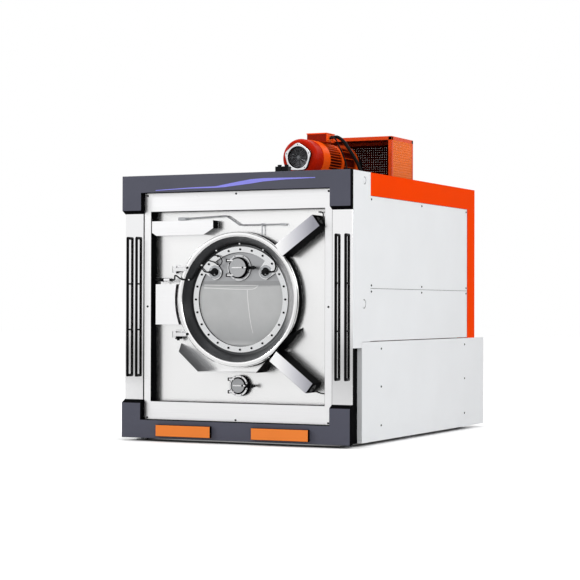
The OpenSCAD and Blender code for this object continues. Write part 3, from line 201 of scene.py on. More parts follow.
# Moulded rubber or plastic, and blackened steel: matt, with a fine grain
def mouldedBlack(name, tone, rough=0.5, grain=0.003, gloss=0.08):
    material, tree, place = startMaterial(name)
    speck = addNode(tree, "ShaderNodeTexNoise", {"Vector": place, "Scale": 1 / grain, "Detail": 2.0}).outputs["Fac"]
    lighter = tuple(min(1.0, c * 1.5 + 0.004) for c in toLinear(tone)[:3]) + (1.0,)
    colour = addNode(tree, "ShaderNodeValToRGB", {"Fac": speck}, [(0.3, tone), (0.75, lighter)])
    endSurface(tree, {"Base Color": colour, "Roughness": rough, "IOR": 1.5, "Specular IOR Level": gloss}, 0.0012,
               (0.15, 0.0004, speck))
    return material


# Door glass: toughened, with a thin dried film that scatters some light and hides the drum behind
def filmedGlass(name):
    material, tree, place = startMaterial(name)
    clouds = addNode(tree, "ShaderNodeTexNoise", {"Vector": place, "Scale": 3.0, "Detail": 5.0,
                                                  "Roughness": 0.6}).outputs["Fac"]
    level = addNode(tree, "ShaderNodeSeparateXYZ", {"Vector": place}).outputs["Z"]
    wander = addNode(tree, "ShaderNodeMath", {0: clouds, 1: 0.05, 2: level}, operation="MULTIPLY_ADD")
    height = addNode(tree, "ShaderNodeMapRange", {"Value": wander, "From Min": 0.98, "From Max": 1.62})
    # the skin's tone changes in bands by height: lighter near the foot, darker at the very foot and at the top
    film = addNode(tree, "ShaderNodeValToRGB", {"Fac": height},
                   [(0.0, "#bfc0c1"), (0.03, "#dcdddd"), (0.09, "#c3c4c5"), (0.5, "#dadbdb"), (0.90, "#dfe0e0"),
                    (0.93, "#b2b3b4")])
    clear = addNode(tree, "ShaderNodeBsdfPrincipled", {"Base Color": toLinear("#e9eef0"), "Roughness": 0.03, "IOR": 1.5,
                                                       "Transmission Weight": 1.0})
    skin = addNode(tree, "ShaderNodeBsdfPrincipled", {"Base Color": film, "Roughness": 0.22, "IOR": 1.5})
    share = addNode(tree, "ShaderNodeMapRange", {"Value": clouds, "To Min": 0.60, "To Max": 0.80})
    endMaterial(tree, addNode(tree, "ShaderNodeMixShader", {0: share, 1: clear, 2: skin}))
    return material


materials = {
    "plate": brushedStainless("stainless_surround_brushed", "#f8f8f9", "x"),
    "tubPlate": brushedStainless("stainless_tub_plate_brushed", "#fdfdfd", "x", (0.23, 0.24), depth=0.02, relief=0.005),
    "column": brushedStainless("stainless_column_fine_brushed", "#f2f2f3", "z", (0.07, 0.10), depth=0.02, relief=0.01),
    # dark grey for the tray's left wall, a painted reflection, and the long cover's lower slant, painted shade
    "trayShadeAndReflection": brushedStainless("stainless_tray_painted_shade_and_reflection", "#6c6d6f", "x", (0.40, 0.50)),
    "cover": brushedStainless("stainless_cover_brushed", "#fafafb", "x", (0.26, 0.34)),
    "lip": polishedStainless("stainless_lip_polished", "#ffffff", 0.13, rings=(0, axisMm)),
    "dish": turnedDish("stainless_dish_turned_painted_shade"),
    # near black on walls that stand in shade: painted shade
    "wallShade": powderCoat("black_rim_painted_shade", "#060608", 0.5, 0.05, 0.001, gloss=0.004),
    # a light tone for the lines laid on the glass
    "glassLine": powderCoat("light_glass_line", "#e4e4e4", 0.5, 0.04, 0.0, 0.02),
    "ring": polishedStainless("stainless_ring_turned", "#e6e7e8", 0.24, rings=(0, axisMm), depth=0.04),
    "fitting": polishedStainless("stainless_fitting_cast", "#b4b6b9", 0.22),
    "ringBright": polishedStainless("stainless_ring_polished", "#f6f6f7", 0.20),
    "hatchFlange": polishedStainless("stainless_hatch_flange", "#d6d7d9", 0.26),
    "hatchDisc": polishedStainless("stainless_hatch_turned", "#bcbdbf", 0.30, rings=hatchAt, spacing=60.0, depth=0.3),
    "portDisc": polishedStainless("stainless_port_turned", "#aeafb1", 0.32, rings=portAt, spacing=60.0, depth=0.3),
    "hatchPlate": brushedStainless("stainless_hatch_plate_brushed", "#a7a8aa", "x", (0.30, 0.44)),
    "drum": polishedStainless("stainless_drum_rolled", "#8d8f92", 0.28, rings=(0, axisMm)),
    "zinc": polishedStainless("steel_bolt_zinc", "#8c8e92", 0.30),
    "cast": powderCoat("cast_iron_painted", "#3a3b3e", 0.55),
    "slate": powderCoat("slate_powder_coat", "#555663", 0.40, 0.06, 0.004, gloss=0.22),
    "portal": powderCoat("dark_structural_paint", "#08080a", 0.6, gloss=0.01),
    "white": powderCoat("white_powder_coat", "#eceef0", 0.40, 0.03, 0.002, 0.06),
    "redOrange": powderCoat("red_orange_enamel", "#fb4400", 0.42, 0.04, 0.003, gloss=0.004),
    "pocket": powderCoat("orange_enamel_cover", "#ff8e3e", 0.38, 0.04, 0.005, gloss=0.12),
    # the dark root tone is painted shade between the fins
    "motor": finnedEnamel("red_orange_casting_enamel_root_shade", "#ff5c10", "#5c1206"),
    # a shaded copy of the motor's enamel for the terminal box's front face: painted shade
    "motorShadedFace": powderCoat("casting_enamel_painted_shade", "#8f1f0a", 0.40, 0.10, 0.002, 0.2, gloss=0.05),
    # a deeper red than the motor's enamel: painted shade on the cowl
    "cowlShadedRed": powderCoat("enamel_cowl_painted_shade", "#c01e03", 0.26, 0.08, 0.002, 0.03, gloss=0.05),
    "rubber": mouldedBlack("black_rubber_moulded", "#08090a", 0.30),
    "rail": mouldedBlack("black_rail_coating", "#050506", 0.20, gloss=0.04),
    "plastic": mouldedBlack("dark_plastic_moulded", "#0c0d0f", 0.32),
    "glass": filmedGlass("toughened_glass_filmed"),
    # black for the fascias' returns; on covers, lids, the tray, the fan ring and the recess walls it is painted shade
    "return": powderCoat("black_returns_and_painted_shade", "#060608", 0.5, 0.05, 0.002, gloss=0.004),
    "darkBolt": mouldedBlack("steel_bolt_blackened", "#040405", 0.36, 0.002, 0.01),
    "coverFace": shadedCover("stainless_clamp_cover_painted_shade"),
    "stripe": powderCoat("violet_blue_vinyl", "#9493f5", 0.35, 0.05, 0.0, 0.02),
    "guardMesh": powderCoat("perforated_sheet_enamel", "#ff7a30", 0.42, 0.08, 0.0005, 0.04, gloss=0.06),
    # a dark copy of the guard's enamel for the inside faces: painted shade
    "guardInsideShade": powderCoat("perforated_sheet_painted_shade", "#561409", 0.55, 0.08, 0.0005, 0.04, gloss=0.02),
    "guardFrame": powderCoat("angle_frame_enamel", "#ee4c12", 0.38, 0.06, 0.0015, gloss=0.15),
    "lipMotor": polishedStainless("aluminium_ring_machined", "#e6e7e9", 0.18),
    "grille": polishedStainless("steel_grille_blackened", "#6a6b6e", 0.24),
}
print("materials made")

finishOf = {
    "plate": ["front_surround", "tub_shell", "drain_pipe"],
    "tubPlate": ["tub_front_plate"],
    "cover": ["hinge_box", "interlock_cover", "clamp_covers", "drip_tray"],
    "lip": ["door_rim"],
    "fitting": ["interlock_rod"],
    "ringBright": ["hinge_brackets", "hinge_arms", "clamp_pad_upper", "clamp_pad_lower"],
    "drum": ["drum_shell", "drum_partitions"],
    "zinc": ["drum_bearings", "levelling_feet"],
    "darkBolt": ["panel_screws"],
    "rail": ["rub_rails"],
    "cast": ["drum_shaft", "bearing_housing", "motor_pulley", "motor_base"],
    "slate": ["lower_fascia", "upper_fascia", "top_deck"],
    "portal": ["front_portal", "base_frame"],
    "white": ["corner_claddings", "upper_side_panels", "lower_side_panels", "side_box_left", "side_box_right",
              "rear_panels"],
    "redOrange": ["rear_frame", "belt_guard"],
    "pocket": ["fork_pocket_covers"],
    "motor": ["motor_body"],
    "rubber": ["clamp_hoses", "motor_cables", "drive_belts", "door_gasket", "door_cable"],
    "plastic": ["clamp_cylinders", "lead_connector", "air_valves", "door_lamps", "hatch_knob", "port_knob"],
    "glass": ["door_glass"],
}
for finish, names in finishOf.items():
    for name in names:
        piece = nodes[name]
        piece.data.materials.clear()
        piece.data.materials.append(materials[finish])
print("finishes set")


# mesh helpers; points are in millimetres, across, behind and above the foot of the front's middle
def spot(x, y, z):
    return Vector((x / 1000, y / 1000 - midY, z / 1000))


# a point of a circle that faces the front
def onCircle(centre, radius, angle, depth):
    return centre[0] + radius * math.cos(angle), depth, centre[1] + radius * math.sin(angle)


def newPiece(name, bm, finishes, body, stands=(), sharp=32, faceOut=True):
    if faceOut:
        bmesh.ops.recalc_face_normals(bm, faces=bm.faces)
    mesh = bpy.data.meshes.new(name)
    bm.to_mesh(mesh)
    bm.free()
    piece = bpy.data.objects.new(name, mesh)
    bpy.context.collection.objects.link(piece)
    for finish in finishes:
        mesh.materials.append(materials[finish])
    mesh.shade_smooth()
    mesh.set_sharp_from_angle(angle=math.radians(sharp))
    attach(piece, body)
    if stands:
        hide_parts(*stands)
    return piece


def soften(piece, width, segments=2):
    bevel = piece.modifiers.new("edges", "BEVEL")
    bevel.width = width / 1000
    bevel.segments = segments
    bevel.limit_method = "ANGLE"
    bevel.angle_limit = math.radians(38)
    bevel.harden_normals = True


# rings of points joined one to the next, each band in its finish; a point on an axis stands for a whole ring
def joinRings(bm, rings, finishes, closed=False):
    for first, second, finish in zip(rings, rings[1:] + rings[:1] if closed else rings[1:], finishes):
        for k in range(len(first)):
            j = (k + 1) % len(first)
            corners = list(dict.fromkeys((first[k], first[j], second[j], second[k])))
            if len(corners) > 2:
                bm.faces.new(corners).material_index = finish


# a section of (radius, depth, finish number) turned about a line that runs back from the front
def addLathe(bm, centre, section, steps=160, closed=True):
    rings = []
    for radius, depth, _ in section:
        if radius < 0.01:
            rings.append([bm.verts.new(spot(centre[0], depth, centre[1]))] * steps)
        else:
            rings.append([bm.verts.new(spot(*onCircle(centre, radius, 2 * math.pi * k / steps, depth)))
                          for k in range(steps)])
    joinRings(bm, rings, [finish for _, _, finish in section], closed)


# two loops of points joined, with both ends closed; sides is one finish, or one for each side of which
# the back takes the first
def addLoft(bm, front, back, finish=0, sides=None):
    a = [bm.verts.new(p) for p in front]
    b = [bm.verts.new(p) for p in back]
    count = len(a)
    sides = finish if sides is None else sides
    sides = sides if isinstance(sides, tuple) else (sides,) * count
    bm.faces.new(a).material_index = finish
    bm.faces.new(list(reversed(b))).material_index = sides[0]
    for k in range(count):
        bm.faces.new((a[k], b[k], b[(k + 1) % count], a[(k + 1) % count])).material_index = sides[k]


# an outline across and up, pulled from one depth to another
def addSlab(bm, outline, front, back, finish=0, sides=None):
    addLoft(bm, [spot(x, front, z) for x, z in outline], [spot(x, back, z) for x, z in outline], finish, sides)


def oblong(x0, x1, z0, z1):
    return (x0, z0), (x1, z0), (x1, z1), (x0, z1)


def addBox(bm, low, high, finish=0):
    addSlab(bm, oblong(low[0], high[0], low[2], high[2]), low[1], high[1], finish)


# a bolt head that looks along a direction, with a chamfered crown
def addBolt(bm, place, look, radius, height, finish=0, sides=6):
    look = Vector(look).normalized()
    across = look.orthogonal().normalized()
    up = look.cross(across)
    turns = [2 * math.pi * k / sides for k in range(sides)]
    rings = []
    for size, lift in ((radius, 0.0), (radius, height * 0.8), (radius * 0.82, height)):
        rings.append([bm.verts.new(spot(*place) + (look * lift + (across * math.cos(turn) + up * math.sin(turn)) * size)
                                   / 1000) for turn in turns])
    joinRings(bm, rings, (finish, finish))
    bm.faces.new(rings[-1]).material_index = finish


# a round tube with closed ends, straight between two points and eased through more
def addTube(bm, points, radius, sides=16, finish=0):
    path = [spot(*p) for p in points]
    if len(path) > 2:
        ends = [path[0] * 2 - path[1]] + path + [path[-1] * 2 - path[-2]]
        smooth = []
        for a, b, c, d in zip(ends, ends[1:], ends[2:], ends[3:]):
            for t in (s / 10 for s in range(10)):
                smooth.append(0.5 * ((2 * b) + (c - a) * t + (2 * a - 5 * b + 4 * c - d) * t ** 2
                                     + (3 * b - a - 3 * c + d) * t ** 3))
        path = smooth + [path[-1]]
    side = None
    turns = [2 * math.pi * k / sides for k in range(sides)]
    rings = []
    for i, p in enumerate(path):
        heading = (path[min(i + 1, len(path) - 1)] - path[max(i - 1, 0)]).normalized()
        side = heading.orthogonal().normalized() if side is None else (side - heading * side.dot(heading)).normalized()
        top = heading.cross(side)
        rings.append([bm.verts.new(p + (side * math.cos(turn) + top * math.sin(turn)) * radius / 1000)
                      for turn in turns])
    joinRings(bm, rings, [finish] * len(rings))
    bm.faces.new(list(reversed(rings[0]))).material_index = finish
    bm.faces.new(rings[-1]).material_index = finish


# a flat ribbon through pairs of points
def addRibbon(bm, pairs):
    pairs = [[bm.verts.new(spot(*p)) for p in pair] for pair in pairs]
    for a, b in zip(pairs, pairs[1:]):
        bm.faces.new((a[0], b[0], b[1], a[1]))


# door rim: one pressing with a beaded lip and a turned cone; its outer wall, the groove of its bead and its back are
# black, painted shade
rim = {"radius": 666, "back": 178, "coneFront": 616, "coneBack": 545, "glassBack": 188}
bm = bmesh.new()
r, rear, coneFront, coneBack, glassBack = (rim[k] for k in ("radius", "back", "coneFront", "coneBack", "glassBack"))
section = [(r, rear, 1), (r, 101, 0), (r - 0.6, 95, 0), (r - 2, 91.4, 0), (r - 4, 90.4, 0), (r - 6, 91.4, 1),
           (r - 8.4, 92, 1), (r - 9, 89, 0), (r - 11, 86.4, 0), (r - 13.5, 85.3, 0), (r - 42, 85.3, 0),
           (r - 46, 86.3, 0), (r - 49, 89, 0), (coneFront - 1.5, 95, 2), (coneBack + 3, glassBack - 8, 2),
           (coneBack, glassBack - 5, 2), (coneBack, glassBack, 2), (481, glassBack, 2), (481, glassBack + 8, 1),
           (coneBack + 8, glassBack + 8, 1), (coneBack + 8, glassBack - 4, 1), (coneFront + 8, 93, 1),
           (r - 16, 93, 1), (r - 8, 101, 1), (r - 8, rear, 1)]
addLathe(bm, (0, axisMm), section, steps=224)
newPiece("door_rim_pressing", bm, ["lip", "wallShade", "dish"], "door", ["door_rim"], 40)

# glass ring with the two lobes that carry the lamps, black on its thickness and back as painted shade
glassRing = {"outer": 522, "inner": 463, "front": 160, "back": 176, "lobe": 76, "lobeAt": 389, "lobeHalf": 10.2}
lobeAngles = [math.atan2(270, 280), math.atan2(270, -280)]


def ringInside(angle):
    for middle in lobeAngles:
        off = angle - middle
        if abs(off) < math.radians(glassRing["lobeHalf"]):
            reach = math.sqrt(glassRing["lobe"] ** 2 - (glassRing["lobeAt"] * math.sin(off)) ** 2)
            return glassRing["lobeAt"] * math.cos(off) - reach
    return glassRing["inner"]


angles = [2 * math.pi * k / 240 for k in range(240)]
for middle in lobeAngles:
    for side in (-1, 1):
        angles += [middle + side * (math.radians(glassRing["lobeHalf"]) + nudge) for nudge in (-0.0004, 0.0004)]
angles.sort()
bm = bmesh.new()
loops = []
front, back, outer = glassRing["front"], glassRing["back"], glassRing["outer"]
for depth, inset, inside in ((back, 0, False), (front + 2, 0, False), (front, 2, False), (front, 1.5, True),
                             (front + 1.5, 0, True), (back, 0, True)):
    sizes = [ringInside(a) + inset if inside else outer - inset for a in angles]
    loops.append([bm.verts.new(spot(*onCircle((0, axisMm), size, a, depth))) for size, a in zip(sizes, angles)])
joinRings(bm, loops, (1, 0, 0, 0, 1, 1), closed=True)
newPiece("glass_ring_thick", bm, ["ring", "wallShade"], "door", ["glass_ring"], 40)

# bolts of the glass ring
ringBolts = {"count": 24, "circle": 493, "face": 160, "radius": 11, "height": 8}
bm = bmesh.new()
for k in range(ringBolts["count"]):
    angle = math.radians(90 + 360 * k / ringBolts["count"])
    addBolt(bm, onCircle((0, axisMm), ringBolts["circle"], angle, ringBolts["face"]), (0, -1, 0), ringBolts["radius"],
            ringBolts["height"])
newPiece("glass_ring_bolt_heads", bm, ["darkBolt"], "door", ["glass_ring_bolts"])

# lamps: cast bezel, black body in four petals, gland nut on the side where its lead leaves
lamp = {"across": 280, "up": 1681, "face": 160, "petals": 4}
for side, name in ((-1, "left"), (1, "right")):
    bm = bmesh.new()
    x = side * lamp["across"]
    y = lamp["face"]
    addLathe(bm, (x, lamp["up"]), [(0, y, 0), (65, y, 0), (65, y - 5, 0), (61, y - 8, 0), (42, y - 8, 0),
                                   (40, y - 4, 1), (34, y - 4, 1), (34, y - 20, 1), (28, y - 24, 1), (28, y - 40, 1),
                                   (24, y - 44, 1), (0, y - 44, 1)], steps=72, closed=False)
    for k in range(lamp["petals"]):
        angle = 2 * math.pi * (k + 0.35) / lamp["petals"]
        along = Vector((math.cos(angle), 0, math.sin(angle)))
        cross = Vector((-math.sin(angle), 0, math.cos(angle)))
        foot = spot(x, y - 8, lamp["up"])
        head = spot(x, y - 43, lamp["up"])
        front = [foot + (along * a + cross * b) / 1000 for a, b in ((20, -5), (42, -5), (42, 5), (20, 5))]
        back = [head + (along * a + cross * b) / 1000 for a, b in ((14, -4), (34, -4), (34, 4), (14, 4))]
        addLoft(bm, front, back, 0 if k % 2 else 1)
    addBolt(bm, (x + side * 36, 136, lamp["up"]), (side, 0, 0), 13, 14, finish=1)
    addTube(bm, [(x + side * 48, 136, lamp["up"]), (x + side * 58, 136, lamp["up"])], 10, finish=1)
    newPiece("door_lamp_" + name, bm, ["fitting", "plastic"], "door", ["door_lamps"] if side < 0 else ())

# leads and hoses, smooth along the routes that the part gives them
leadDoor = [(-700, 100, 1630.4), (-700, 100, 1636), (-697, 96, 1644), (-688, 84, 1648), (-672, 70, 1648),
            (-652, 64, 1640), (-630, 66, 1624), (-606, 70, 1610), (-582, 80, 1606), (-553, 114, 1606),
            (-532, 136, 1608), (-517, 146, 1622), (-494, 150, 1652), (-462, 152, 1700), (-424, 152, 1752),
            (-380, 152, 1804), (-322, 152, 1856), (-258, 152, 1894), (-180, 152, 1930), (-90, 152, 1952),
            (0, 152, 1958), (90, 152, 1952), (180, 152, 1930), (258, 152, 1894), (322, 152, 1850),
            (370, 150, 1800), (394, 146, 1750), (396, 140, 1712), (384, 137, 1688), (364, 136, 1681),
            (338.4, 136, 1681)]
leadLamp = [(-338.4, 136, 1681), (-366, 136, 1681), (-390, 138, 1690), (-406, 142, 1706), (-416, 147, 1718),
            (-424.5, 151, 1727)]
# two thin wires that leave the left lamp for the bundle
lampWires = (((-221, 128, 1736), (-190, 126, 1765), (-184, 126, 1795), (-204, 128, 1829), (-236, 132, 1844),
              (-270, 140, 1848), (-312, 151, 1842)),
             ((-232, 128, 1752), (-269, 130, 1776), (-325, 140, 1791), (-372, 151, 1798)))
clips = [9, 14, 17, 20, 23]   # points of the door's lead where a clip holds it
cord = {"door": 7.6, "lamp": 5.8, "wire": 5.2, "clip": 10.5, "joint": 6.8, "hose": 6, "motorHose": 18,
        "motorLead": 8}   # radii
bm = bmesh.new()
addTube(bm, leadDoor, cord["door"])
addTube(bm, leadLamp, cord["lamp"])
for route in lampWires:
    addTube(bm, route, cord["wire"])
for k in clips:
    before, middle, after = (Vector(leadDoor[j]) for j in (k - 1, k, k + 1))
    step = (after - before).normalized() * 7
    addTube(bm, [middle - step, middle + step], cord["clip"], finish=1)
newPiece("door_lead", bm, ["rubber", "ringBright"], "door", ["door_cable"], 50)

hoseUpper = [(904.8, 60, 2169.2), (917.7, 60, 2178.6), (932, 62, 2192), (938, 70, 2212), (930, 82, 2234),
             (908, 100, 2248), (880, 124, 2252), (858, 144, 2252), (852, 160, 2252), (852, 183.5, 2252)]
hoseLower = [(837.4, 60, 558.9), (850, 60, 549), (868, 62, 534), (892, 72, 522), (916, 92, 513), (930, 120, 510),
             (934, 150, 510), (934, 183.5, 510)]
bm = bmesh.new()
for route in (hoseUpper, hoseLower):
    addTube(bm, route, cord["hose"])
newPiece("clamp_air_hoses", bm, ["rubber"], "root", ["clamp_hoses"], 50)

motorHose = [(186.4, 1980, 3152), (230, 1980, 3152), (290, 1984, 3112), (344, 1988, 3040), (400, 1992, 2960),
             (452, 1996, 2870), (490, 2000, 2780), (508, 2000, 2700), (508, 2000, 2652)]
motorLead = [(186.4, 1940, 3140), (206, 1940, 3140), (226, 1940, 3124), (262, 1944, 3050), (304, 1948, 2960),
             (340, 1950, 2860), (356, 1950, 2740), (356, 1950, 2652)]
bm = bmesh.new()
addTube(bm, motorHose, cord["motorHose"], sides=24)
addTube(bm, motorLead, cord["motorLead"])
newPiece("motor_supply_leads", bm, ["rubber"], "root", ["motor_cables"], 50)

# lead joint on the hinge box: coupling halves with knurled rings, and the leads to and from them
leadIn = [(-945, 183.5, 1606), (-945, 164, 1606), (-938, 130, 1606), (-920, 100, 1606), (-896, 84, 1606),
          (-872, 80, 1606)]
leadHinge = [(-720, 80, 1606), (-710, 82, 1606), (-702, 90, 1608), (-700, 97, 1614), (-700, 100, 1622),
             (-700, 100, 1630)]
joint = {"x": (-872, -720), "y": 80, "z": 1606, "steel": (-806, -742), "knurls": 5, "knurlStep": 7}
bm = bmesh.new()
x0, x1 = joint["x"]
for start, end, radius, finish in ((x0, x0 + 22, 12, 0), (x0 + 22, joint["steel"][0], 16, 0),
                                   (joint["steel"][0], joint["steel"][1], 18.5, 1), (joint["steel"][1], x1, 13, 0)):
    addTube(bm, [(start, joint["y"], joint["z"]), (end, joint["y"], joint["z"])], radius, 28, finish=finish)
for k in range(joint["knurls"]):
    x = x0 + 30 + joint["knurlStep"] * k
    addTube(bm, [(x, joint["y"], joint["z"]), (x + 3.5, joint["y"], joint["z"])], 17.5, 28, finish=0)
addTube(bm, leadIn, cord["joint"])
addTube(bm, leadHinge, cord["door"])
addBox(bm, (-850, 86, 1562), (-830, 105, 1600), 1)
newPiece("lamp_lead_joint", bm, ["plastic", "ringBright"], "root", ["lead_connector"], 40)
print("door, leads and hoses made")


# dark blocks under the hinges that paint their shade, and the bolts of the hinge arms
hingeShadeAndBolts = {"places": ((-678, 1713), (-665, 1047)), "bolts": ((-548, 1725), (-546, 1068)), "front": 96}
bm = bmesh.new()
for x, z in hingeShadeAndBolts["places"]:
    addBox(bm, (x - 26, hingeShadeAndBolts["front"], z - 30), (x + 18, 150, z - 4))
    addBox(bm, (x - 8, hingeShadeAndBolts["front"], z - 44), (x + 6, 130, z - 30))
for x, z in hingeShadeAndBolts["bolts"]:
    addBolt(bm, (x, 84.5, z), (0, -1, 0), 13, 10)
newPiece("hinge_painted_shade_and_bolts", bm, ["darkBolt"], "root", (), 30)

# clamp covers, drip tray and long cover: folded sheet with sides in black and dark grey, painted shade, and on the
# tray's left wall a painted reflection
clampCover = {"places": ((504, 467, 36, 134), (447, -547, -38, 122)), "length": 490, "front": -20, "back": 184}
bm = bmesh.new()
for x, z, lean, width in clampCover["places"]:
    out = Vector((math.cos(math.radians(lean)), math.sin(math.radians(lean))))
    side = Vector((-out.y, out.x)) * width / 2
    start = Vector((x, axisMm + z))
    end = start + out * clampCover["length"]
    loop = [start - side, end - side, end + side, start + side]
    # front in the cover finish; sides and ends in black, painted shade
    addSlab(bm, loop, clampCover["front"], clampCover["back"] - 0.2, 0, 1)
soften(newPiece("clamp_cover_boxes", bm, ["coverFace", "return"], "root", ["clamp_covers"]), 3, 3)
tray = {"corner": -367, "right": 266.8, "bottom": -708, "wall": 4, "front": -20, "back": 183.8,
        "leftTop": (-584.7, -512, -669.5, -436), "rightTop": (600.6, -350, 675.3, -270),
        "window": (175, 303, 32, 92)}   # along the wall and behind the front, where the clamp's pad passes
bm = bmesh.new()
low = axisMm + tray["bottom"]
# the left wall in dark grey, a painted reflection; the right wall in black, painted shade
for foot, top, finish, window in (((tray["corner"], low), tray["leftTop"], 1, None),
                                  ((tray["right"], low), tray["rightTop"], 2, tray["window"])):
    foot = Vector(foot)
    reach = [(Vector((top[k], axisMm + top[k + 1])) - foot).length for k in (0, 2)]
    lean = (Vector((top[2], axisMm + top[3])) - foot).normalized()
    under = Vector((lean.y, -lean.x)) * tray["wall"] * (1 if lean.x > 0 else -1)
    strips = [(tray["front"], tray["back"], 0, reach[0], reach[1])]
    if window:
        start, stop, y0, y1 = window
        strips = [(tray["front"], tray["back"], 0, start, start), (tray["front"], y0, start, stop, stop),
                  (y1, tray["back"], start, stop, stop), (tray["front"], tray["back"], stop, reach[0], reach[1])]
    for y0, y1, near, farFront, farBack in strips:
        loops = []
        for y, far in ((y0, farFront), (y1, farBack)):
            first, second = foot + lean * near, foot + lean * far
            loops.append([spot(x, y, z) for x, z in (first, second, second + under, first + under)])
        addLoft(bm, *loops, finish)
addBox(bm, (tray["corner"] - 2, tray["front"], low - tray["wall"]), (tray["right"] + 2, tray["back"], low), 0)
soften(newPiece("drip_tray_folded", bm, ["cover", "trayShadeAndReflection", "return"], "root", ["drip_tray"]), 0.8)

longCover = {"front": 75, "back": 183.8, "outline": ((-950, 780), (-258, 780), (-258, 700), (-363, 640), (-900, 634),
                                                    (-950, 666))}
bm = bmesh.new()
loop = [(x, axisMm + z) for x, z in longCover["outline"]]
# the right end in black and the lower slant in dark grey: painted shade
addSlab(bm, loop, longCover["front"], longCover["back"], 0, (0, 1, 2, 0, 0, 0))
soften(newPiece("interlock_long_cover", bm, ["cover", "return", "trayShadeAndReflection"], "root", ["interlock_cover"]), 2, 3)
print("covers and tray made")


# portholes: bright ring and turned disc, black on their sides as painted shade, with knuckles, latch bar and ribbed
# knob
def makePorthole(name, at, radius, flange, size, back, depth, base, cover, knob, discFinish, forward):
    x, z = at
    front = back - depth
    hinges = (-0.6 * radius, 0.6 * radius)
    neck, latch = radius * 0.62, radius + 62   # radius of the bore behind the disc, distance to the knob
    knobRadius, ribCircle, ribs = 17.5, 17.2, 12
    bm = bmesh.new()
    ring = size + 9
    boltCircle = (flange + ring) / 2
    face = front if forward else back - 10   # where the bright flange lies: around the disc, or on the sheet behind it
    section = [(flange, back, 1), (flange, face + 1, 1), (flange - 1.5, face, 0), (ring, face, 1)]
    section += [] if forward else [(ring, front + 2, 1), (ring - 2, front, 1)]
    addLathe(bm, at, section + [(neck, front, 1), (neck, back, 1)], steps=96)
    for k in range(8):
        addBolt(bm, onCircle(at, boltCircle, math.radians(22.5 + 45 * k), face), (0, -1, 0), 5, 4, finish=2, sides=12)
    pin = front - 7
    for up in hinges:
        for lift in (8.3, -14.3):
            addBox(bm, (x - radius - 9, pin - 6, z + up + lift), (x - radius + 9, back - 1, z + up + lift + 6), 2)
        addTube(bm, [(x - radius, pin, z + up - 17), (x - radius, pin, z + up + 17)], 5.9, 20, finish=2)
        addBox(bm, (x - radius - 10, back - 9, z + up - 15), (x - radius * 0.72, back, z + up + 15), 2)
    addBox(bm, (x + ring - 8, front, z - 11), (x + radius + 76, front + 15, z + 11), 1)
    soften(newPiece(name + "_ring", bm, ["ringBright" if forward else "hatchFlange", "wallShade", "darkBolt"], base[0],
                    base[1:]), 0.8)

    bm = bmesh.new()
    face = front - 12
    addLathe(bm, at, [(0, front - 0.4, 1), (size, front - 0.4, 1), (size, face + 4, 1), (size - 6, face, 3),
                      (size * 0.12, face + 1, 3), (0, face + 1, 3)], steps=96, closed=False)
    for up in hinges:
        addTube(bm, [(x - radius, pin, z + up - 8), (x - radius, pin, z + up + 8)], 10.4, 24, finish=2)
        addBox(bm, (x - radius, front - 15, z + up - 7), (x - radius * 0.42, front - 8, z + up + 7), 0)
    addBox(bm, (x - radius * 0.5, front - 19, z - 5), (x + radius * 0.82, front - 11, z + 7), 0)
    addBox(bm, (x + radius * 0.7, front - 12, z - 10), (x + radius + 74, front - 2.4, z + 10), 2)
    for across, up in ((0.50, 2), (0.85, 14), (0.88, -16)):
        addBolt(bm, (x + radius * across, front - 17, z + up), (0, -1, 0), 10, 6, finish=2)
    soften(newPiece(name + "_disc", bm, ["ringBright", "wallShade", "darkBolt", discFinish], cover[0], cover[1:]), 0.8)

    bm = bmesh.new()
    knobAt = (x + latch, z)
    addLathe(bm, knobAt, [(0, front - 12.5, 0), (15, front - 13, 0), (knobRadius, front - 17, 0),
                          (knobRadius, front - 32, 0), (14, front - 39, 0), (9, front - 41.5, 0), (0, front - 42, 0)],
             steps=48, closed=False)
    addTube(bm, [(knobAt[0], front - 14, z), (knobAt[0], front - 1, z)], 5.9, 20)
    for k in range(ribs):
        addTube(bm, [onCircle(knobAt, ribCircle, 2 * math.pi * k / ribs, y) for y in (front - 17, front - 33)], 2.0, 8)
    newPiece(name + "_knob", bm, ["plastic"], knob[0], knob[1:], 40)


portholes = {
    "sampling_hatch": {"at": hatchAt, "radius": 120, "flange": 131, "size": 97, "back": 176, "depth": 34,
                       "base": ("door",), "cover": ("hatch", "hatch_cover"), "knob": ("hatch_knob_body", "hatch_knob"),
                       "discFinish": "hatchDisc", "forward": False},
    "lower_port": {"at": portAt, "radius": 103, "flange": 103, "size": 76, "back": 184, "depth": 56,
                   "base": ("root", "port_frame"), "cover": ("port", "port_cover"),
                   "knob": ("port_knob_body", "port_knob"), "discFinish": "portDisc", "forward": True},
}
for name, porthole in portholes.items():
    makePorthole(name, **porthole)

# the hatch plate as one sheet without its hole, and a black seal round the glass
plate = {"edge": 149, "radius": 518, "front": 176.2, "back": 188, "steps": 64}
bm = bmesh.new()
start = math.asin(plate["edge"] / plate["radius"])
outline = []
for k in range(plate["steps"] + 1):
    angle = start + (math.pi - 2 * start) * k / plate["steps"]
    outline.append((plate["radius"] * math.cos(angle), axisMm + plate["radius"] * math.sin(angle)))
addSlab(bm, outline, plate["front"], plate["back"])
newPiece("hatch_plate_sheet", bm, ["hatchPlate"], "door", ["hatch_plate"])
bm = bmesh.new()
addLathe(bm, (0, axisMm), [(467, 176, 0), (467, 170, 0), (464, 168.6, 0), (461, 170, 0), (460, 176, 0)], steps=160)
newPiece("glass_seal", bm, ["rubber"], "door", (), 50)

